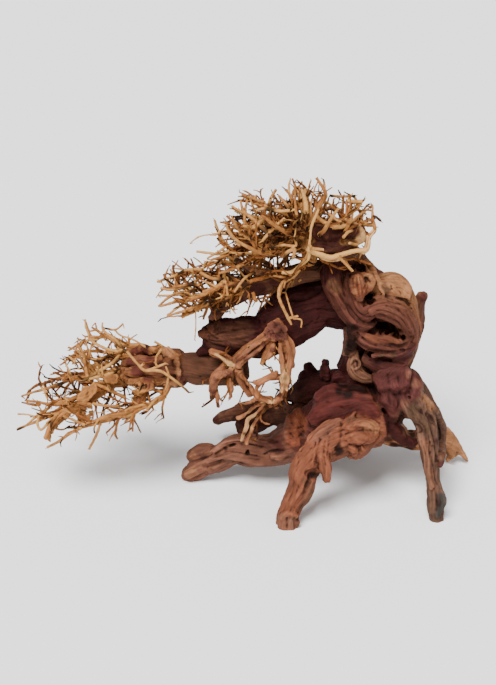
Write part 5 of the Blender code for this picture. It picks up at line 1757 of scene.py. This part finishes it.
    def clear_of(self, grown: Sequence[Rootlet]) -> List[Rootlet]:
        """The fine roots that run through none of the spots that stay bare.

        Args:
            grown: Fine roots.

        Returns:
            Those that stay.
        """
        bare = [spot for name, spots in self.spots.items() if "bare" in name for spot in spots]
        return [root for root in grown
                if not any((np.linalg.norm(root.points - spot[:3], axis=1) < spot[3]).any()
                           for spot in bare)]

    def link(self, stick: Rootlet, others: Array) -> List[Rootlet]:
        """A short root that ties a stick to the nearest other root, if it stands clear of them.

        Args:
            stick: The traced root.
            others: Points of the roots that are there already.

        Returns:
            The short root, or nothing.
        """
        gaps = np.linalg.norm(stick.points[:, None, :] - others[None, :, :], axis=2)
        own, other = np.unravel_index(int(np.argmin(gaps)), gaps.shape)
        if gaps[own, other] < stick.radii[own]:
            return []
        count = max(3, int(gaps[own, other] / self.LINK_STEP) + 1)
        share = np.linspace(0, 1, count)[:, None]
        points = stick.points[own] * (1 - share) + others[other] * share
        radii = np.full(count, stick.radii[own] * self.LINK_SHARE)
        return [Rootlet(points, radii, min(stick.tone, 1.0), 0.0)]

    def scorch(self, points: Array) -> Array:
        """How black each point is, from the burnt spots that it lies in."""
        black = np.zeros(len(points))
        for x, y, z, reach in self.spots.get("burnt", ()):
            away = np.linalg.norm(points - (x, y, z), axis=1) / reach
            black = np.maximum(black, np.clip((self.SPOT_END - away) / self.SPOT_FADE, 0,
                                              self.SPOT_BLACK))
        return black

    def boughs(self) -> List[Rootlet]:
        """Grow the boughs, their side roots and the forks on those.

        Returns:
            The fine roots that grow by rule.
        """
        rule = self.rule
        roots: List[Rootlet] = []
        for number, points in enumerate(self.routes.values()):
            rng = np.random.default_rng(rule.seed * 1000 + number)
            path = Path.through(points, self.ROOT_STEP)
            if max(point[3] for point in points) < self.CORE_RADIUS:
                radii = path.radii * np.where(path.radii > self.TWIG_RADIUS, self.bough_share,
                                              self.TWIG_SHARE)
                roots.append(Rootlet(path.centres, radii, float(rng.uniform(*self.BOUGH_TONES)), 0.0))
            first = self.clear_of(self.side_roots(rng, path, rule.spacing, rule.length, rule.radius, 0.0))
            roots += first
            for twig in first:
                carrier = Path.of(np.column_stack([twig.points, twig.radii]))
                roots += self.clear_of(self.side_roots(
                    rng, carrier, rule.fork_spacing, rule.length * rule.fork_share,
                    rule.radius * rule.fork_radius, rule.fork_start))
        return roots

    def grow(self) -> List[Rootlet]:
        """Grow the boughs by rule, and add the sticks that were traced one by one.

        Returns:
            All fine roots of the spray.
        """
        roots = self.boughs()
        rng = np.random.default_rng(self.rule.seed)
        for name, points in self.sticks.items():
            path = Path.through(points, self.ROOT_STEP)
            burnt = self.burnt_tip(rng, self.STICK_BURNT_SHARE)
            tone = float(rng.uniform(*self.STICK_TONES))
            if "pale" in name:
                tone, burnt = self.PALE_TONE, 0.0
            stick = Rootlet(path.centres, path.radii, tone, burnt)
            roots += [stick] + self.link(stick, np.vstack([root.points for root in roots]))
        return roots

    def wire(self, roots: Sequence[Rootlet]) -> Object:
        """Mesh of edges along the roots, with their thickness, tone and burnt tips.

        Args:
            roots: The fine roots.

        Returns:
            The object that the tubes are made from.
        """
        edges: List[Tuple[int, int]] = []
        columns: Dict[str, List[Array]] = {"thickness": [], "tone": [], "char": []}
        first = 0
        for root in roots:
            count = len(root.points)
            edges += [(i, i + 1) for i in range(first, first + count - 1)]
            first += count
            share = np.linspace(0, 1, count)
            tip = root.char * np.clip((share - self.BURNT_FROM) / self.BURNT_FADE, 0, 1)
            spot = 0.0 if root.tone > 1 else self.scorch(root.points)
            columns["thickness"].append(root.radii * MM)
            columns["tone"].append(np.full(count, root.tone))
            columns["char"].append(np.maximum(tip, spot))
        body = new_mesh(self.name, np.vstack([root.points for root in roots]), edges, [])
        for name, column in columns.items():
            store(body, name, np.concatenate(column))
        return body

    def build(self, finish: Material, tree: NodeTree) -> Object:
        """Make the finished spray.

        Args:
            finish: Material of the fine roots.
            tree: The geometry nodes that turn lines into roots.

        Returns:
            The object.
        """
        body = self.wire(self.grow())
        grown = modify(body, "Fine roots", "NODES", node_group=tree)
        sockets = {item.name: item.identifier for item in tree.interface.items_tree
                   if item.in_out == "INPUT"}
        for name, value in (("Sides", self.sides), ("Spur spacing", self.spur_every_mm * MM),
                            ("Spur length", self.spur_mm * MM), ("Seed", self.rule.seed),
                            ("Finish", finish)):
            grown[sockets[name]] = value
        settle(body)
        Surface(body).write_back()
        return body


def rootlet_tree() -> NodeTree:
    """Geometry nodes that turn lines with a thickness into fine roots with short spurs.

    Returns:
        The node tree, with named inputs for its sizes.
    """
    tree = bpy.data.node_groups.new("Fine roots from lines", "GeometryNodeTree")
    for name, kind, way in (("Lines", "Geometry", "INPUT"), ("Sides", "Int", "INPUT"),
                            ("Spur spacing", "Float", "INPUT"), ("Spur length", "Float", "INPUT"),
                            ("Seed", "Int", "INPUT"), ("Finish", "Material", "INPUT"),
                            ("Roots", "Geometry", "OUTPUT")):
        tree.interface.new_socket(name, in_out=way, socket_type="NodeSocket" + kind)
    given = add_node(tree, "NodeGroupInput").outputs
    thickness = add_node(tree, "GeometryNodeInputNamedAttribute", {"Name": "thickness"},
                         data_type="FLOAT")
    line = add_node(tree, "GeometryNodeMeshToCurve", {"Mesh": given["Lines"]})
    ring = add_node(tree, "GeometryNodeCurvePrimitiveCircle", {"Resolution": given["Sides"],
                                                               "Radius": 1.0})
    tube = add_node(tree, "GeometryNodeCurveToMesh", {"Curve": line, "Profile Curve": ring,
                                                      "Scale": thickness, "Fill Caps": True})
    # Bark swells and pits of about a tenth of a millimetre, on a grain of 2.4 mm, 420 to the metre
    noise = add_node(tree, "ShaderNodeTexNoise", {"Scale": 420.0, "Detail": 2.0})
    level = add_node(tree, "ShaderNodeMath", {0: noise, 1: 1.1 * MM, 2: -0.55 * MM},
                     operation="MULTIPLY_ADD")
    normal = add_node(tree, "GeometryNodeInputNormal")
    swell = add_node(tree, "ShaderNodeVectorMath", {0: normal, "Scale": level}, operation="SCALE")
    barked = add_node(tree, "GeometryNodeSetPosition", {"Geometry": tube, "Offset": swell})
    # Short broken spurs stand off the roots, at seven in ten of their places, tilted by radians
    spots = add_node(tree, "GeometryNodeCurveToPoints", {"Curve": line, "Length": given["Spur spacing"]},
                     mode="LENGTH")
    tilt = add_node(tree, "FunctionNodeRandomValue", {"Min": (-1.1, -1.1, -3.1), "Max": (1.1, 1.1, 3.1),
                                                      "Seed": given["Seed"]}, data_type="FLOAT_VECTOR")
    facing = add_node(tree, "FunctionNodeEulerToRotation", {0: tilt})
    turned = add_node(tree, "FunctionNodeRotateRotation", {0: spots.outputs["Rotation"], 1: facing},
                      rotation_space="LOCAL")
    size = add_node(tree, "FunctionNodeRandomValue", {2: 0.45, 3: 1.25, "Seed": given["Seed"]},
                    data_type="FLOAT")
    spike = add_node(tree, "GeometryNodeMeshCone", {
        "Vertices": 5, "Radius Top": 0.28 * MM, "Radius Bottom": 0.55 * MM, "Depth": given["Spur length"]})
    keep = add_node(tree, "FunctionNodeRandomValue", {"Probability": 0.7, "Seed": given["Seed"]},
                    data_type="BOOLEAN")
    spurs = add_node(tree, "GeometryNodeInstanceOnPoints", {
        "Points": spots, "Selection": keep.outputs[3], "Instance": spike, "Rotation": turned,
        "Scale": size.outputs[1]})
    both = add_node(tree, "GeometryNodeJoinGeometry", {0: barked})
    feed(tree, both, {0: spurs})
    smooth = add_node(tree, "GeometryNodeSetShadeSmooth", {"Geometry": both})
    real = add_node(tree, "GeometryNodeRealizeInstances", {"Geometry": smooth})
    dressed = add_node(tree, "GeometryNodeSetMaterial", {"Geometry": real, "Material": given["Finish"]})
    add_node(tree, "NodeGroupOutput", {0: dressed})
    return tree


@dataclass
class Studio:
    """Pale floor, soft lights and the camera at the photograph's angle."""

    floor_m: float = 6.0
    floor_colour: str = "F4F4F4"
    world_colour: str = "FFFFFF"
    world_strength: float = 0.45
    camera_at: Triple = (-0.0001, -1.10115, 0.61658)
    camera_down: float = 24.0
    # The picture is 685 pixels high, and its focal length is 1500 pixels
    sensor_mm: float = 36.0
    lens_mm: float = 36.0 * 1500 / 685

    def floor(self) -> Object:
        """Lay the plain pale floor.

        Returns:
            The floor.
        """
        half = self.floor_m / 2
        data = bpy.data.meshes.new("floor")
        data.from_pydata([(-half, -half, 0), (half, -half, 0), (half, half, 0), (-half, half, 0)], [],
                         [(0, 1, 2, 3)])
        material, tree, shader = new_material("matt white card")
        feed(tree, shader, {"Base Color": linear(self.floor_colour), "Roughness": 0.95})
        data.materials.append(material)
        return new_object("floor", data)

    def lamp(self, name: str, at: Triple, spread: float, strength: float) -> None:
        """Hang a large, far lamp whose soft light falls evenly on the driftwood and the floor.

        Args:
            name: Name of the lamp.
            at: The direction that its light comes from.
            spread: Width of the lamp as an angle in degrees, which softens the shadows.
            strength: Its strength in watts per square metre.
        """
        light = bpy.data.lights.new(name, "SUN")
        light.angle = math.radians(spread)
        light.energy = strength
        lamp = new_object(name, light)
        lamp.location = at
        aim = -np.array(at)
        lamp.rotation_euler = (math.acos(-aim[2] / np.linalg.norm(aim)), 0.0,
                               math.atan2(aim[1], aim[0]) - math.pi / 2)

    def set_up(self) -> None:
        """Make the floor, the lamps, the world and the camera."""
        scene = bpy.context.scene
        self.floor()
        self.lamp("key", (-0.35, -0.75, 1.25), 30.0, 7.0)
        self.lamp("fill", (0.8, -0.9, 0.6), 60.0, 0.7)
        world = bpy.data.worlds.new("studio")
        world.use_nodes = True
        feed(world.node_tree, world.node_tree.nodes["Background"],
             {"Color": linear(self.world_colour), "Strength": self.world_strength})
        scene.world = world
        data = bpy.data.cameras.new("photo view")
        data.sensor_fit = "VERTICAL"
        data.sensor_height = self.sensor_mm
        data.lens = self.lens_mm
        data.clip_start = 0.01
        camera = new_object("photo view", data)
        camera.location = self.camera_at
        camera.rotation_euler = (math.radians(90 - self.camera_down), 0.0, 0.0)
        scene.camera = camera


def stout_part(lines: Routes, least: float, share: float) -> Routes:
    """The stout stretches of a spray's routes, for its solid heart.

    Args:
        lines: Routes of the spray.
        least: Smallest radius that stays.
        share: What the radii of the boughs are multiplied by. Cores stay as they are.

    Returns:
        The shortened routes that still have two points or more.
    """
    kept = {}
    for name, points in lines.items():
        scale = 1.0 if "core" in name else share
        stout = [(x, y, z, radius * scale) for x, y, z, radius in points if radius >= least]
        if len(stout) > 1:
            kept[name] = stout
    return kept


def wood_pieces() -> List[WoodPiece]:
    """The wood pieces and the solid hearts of the sprays.

    Returns:
        One entry for each piece.
    """
    base_tones = {name: tone for tone, names in {
        Tone.DARK: ("back left stub", "dark lobe", "lobe stub a", "lobe stub b", "lobe stub c"),
        Tone.ORANGE: ("front leg", "front spur", "front knuckle"), Tone.DOME: ("filler dome",),
        Tone.GREY: ("right leg", "right twin"), Tone.TAN: ("rear right root", "rear fork"),
        Tone.RUST: ("left leg", "left knuckle", "back leg"), Tone.LOG: ("back left root",),
        Tone.FILLER: ("stump",)}.items() for name in names}
    trunk_tones = {"shoulder": Tone.SHOULDER, "tongue": Tone.OLIVE, "knot": Tone.BURL,
                   "column": Tone.DARK, "peg": Tone.TRUNK}
    crown_tones = {"core": Tone.DARK, "front core": Tone.GOLD, "pale front root": Tone.PALE}
    fine = {"relax": 2, "lump": 0.5, "crack": 0.3, "fibre": 0.25, "pit": 1.0, "sides": 16, "voxel": 0.6}
    coarse = {**fine, "lump": 1.2, "crack": 0.7, "fibre": 0.45, "pit": 2.0}
    return [
        WoodPiece("root_base_wood", "root_base", "weathered root wood", ROOT_BASE, base_tones,
                  strands=BASE_STRANDS, hollows=BASE_HOLLOWS, creases=BASE_CREASES, paint=BASE_PAINT,
                  most_triangles=195000, voxel=0.85, relax=4, crack=0.4, pit=1.3, crease_share=0.7, seed=3),
        WoodPiece("trunk_wood", "trunk", "twisted root wood", TRUNK, trunk_tones, Tone.TRUNK,
                  strands=TRUNK_STRANDS, hollows=TRUNK_HOLLOWS, creases=TRUNK_CREASES, paint=TRUNK_PAINT,
                  most_triangles=180000, voxel=0.65, relax=2, lump=0.5, crack=0.4, pit=1.3, fibre=0.24,
                  crease_share=0.8, seed=5),
        WoodPiece("upper_limb_wood", "upper_limb", "dark limb wood", UPPER_LIMB, {}, Tone.DARK,
                  creases=LIMB_CREASES, paint=LIMB_PAINT, most_triangles=80000, voxel=0.75, relax=4,
                  seed=7),
        WoodPiece("lower_limb_wood", "lower_limb", "dark log wood", LOWER_LIMB, {}, Tone.LOG,
                  most_triangles=36000, voxel=0.75, relax=4, lump=0.5, seed=9),
        WoodPiece("hanging_root_wood", "hanging_root", "tan root wood",
                  stout_part(HANGING_ROOT, 0.0, 0.8), {}, Tone.WORN, strands=HANG_STRANDS,
                  paint=HANG_PAINT, most_triangles=80000, seed=11, **{**coarse, "voxel": 0.5}),
        WoodPiece("left_spray_heart", "left_spray", "fine root tan", stout_part(LEFT_SPRAY, 2.0, 0.68),
                  {"core": Tone.FILLER}, Tone.GOLD, strands=LEFT_STRANDS, plates=LEFT_PLATES,
                  paint=LEFT_PAINT, most_triangles=80000, seed=13, **coarse),
        WoodPiece("upper_spray_heart", "upper_spray", "fine root tan", stout_part(UPPER_SPRAY, 1.8, 0.75),
                  {"core": Tone.LOG}, Tone.LOG, strands=UPPER_STRANDS, paint=UPPER_PAINT,
                  most_triangles=60000, seed=15, **fine),
        WoodPiece("crown_heart", "crown_spray", "fine root gold", stout_part(CROWN_SPRAY, 1.8, 0.75),
                  crown_tones, Tone.GOLD, strands=CROWN_STRANDS, paint=CROWN_PAINT,
                  most_triangles=90000, seed=17, **fine),
    ]


def fine_roots() -> List[FineRoots]:
    """The fine roots of the hanging root and the sprays.

    Returns:
        One entry for each bunch.
    """
    return [
        FineRoots("hanging_rootlets", "hanging_root", "tan root wood", HANGING_ROOT,
                  RootletRule(11, (6, -27, 105), (46, 18, 62), (0.0, 0.0, -0.6), spacing=7.5,
                              length=13.0, radius=1.0, fork_spacing=8.0), bough_share=0.8,
                  brighter=-0.25),
        FineRoots("left_rootlets", "left_spray", "fine root tan", LEFT_SPRAY,
                  RootletRule(23, (-118, 2, 90), (67, 62, 42), (-0.6, 0.0, -0.1), spacing=6.0),
                  sticks=LEFT_STICKS, spots=LEFT_SPOTS),
        FineRoots("upper_rootlets", "upper_spray", "fine root tan", UPPER_SPRAY,
                  RootletRule(37, (-12, 0, 180), (60, 54, 26), (-0.5, 0.0, 0.0), spacing=3.7),
                  sticks=UPPER_STICKS, spots=UPPER_SPOTS),
        FineRoots("crown_rootlets", "crown_spray", "fine root gold", CROWN_SPRAY,
                  RootletRule(53, (42, 0, 222), (68, 60, 42), (-0.25, 0.0, 0.25), spacing=3.5),
                  sticks=CROWN_STICKS, spots=CROWN_SPOTS, brighter=-0.2, burnt_share=0.35),
    ]


def main() -> None:
    """Build and dress every piece, then the studio."""
    logging.basicConfig(level=logging.INFO, format="%(message)s")
    Studio().set_up()
    wood = WoodFinish("weathered root wood, water-worn").material()
    rootlet = RootletFinish("dry fine root").material()
    tree = rootlet_tree()
    pieces = [(piece.build(wood), piece.node, piece.slot) for piece in wood_pieces()]
    pieces += [(bunch.build(rootlet, tree), bunch.node, bunch.slot) for bunch in fine_roots()]
    for body, node, slot in pieces:
        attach(body, "root")
        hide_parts(node)
        LOG.info("%s stands for %s: %d triangles", body.name, node, triangles(body))
    LOG.info("%d triangles in all", sum(triangles(body) for body, _, _ in pieces))


if __name__ == "__main__":
    main()
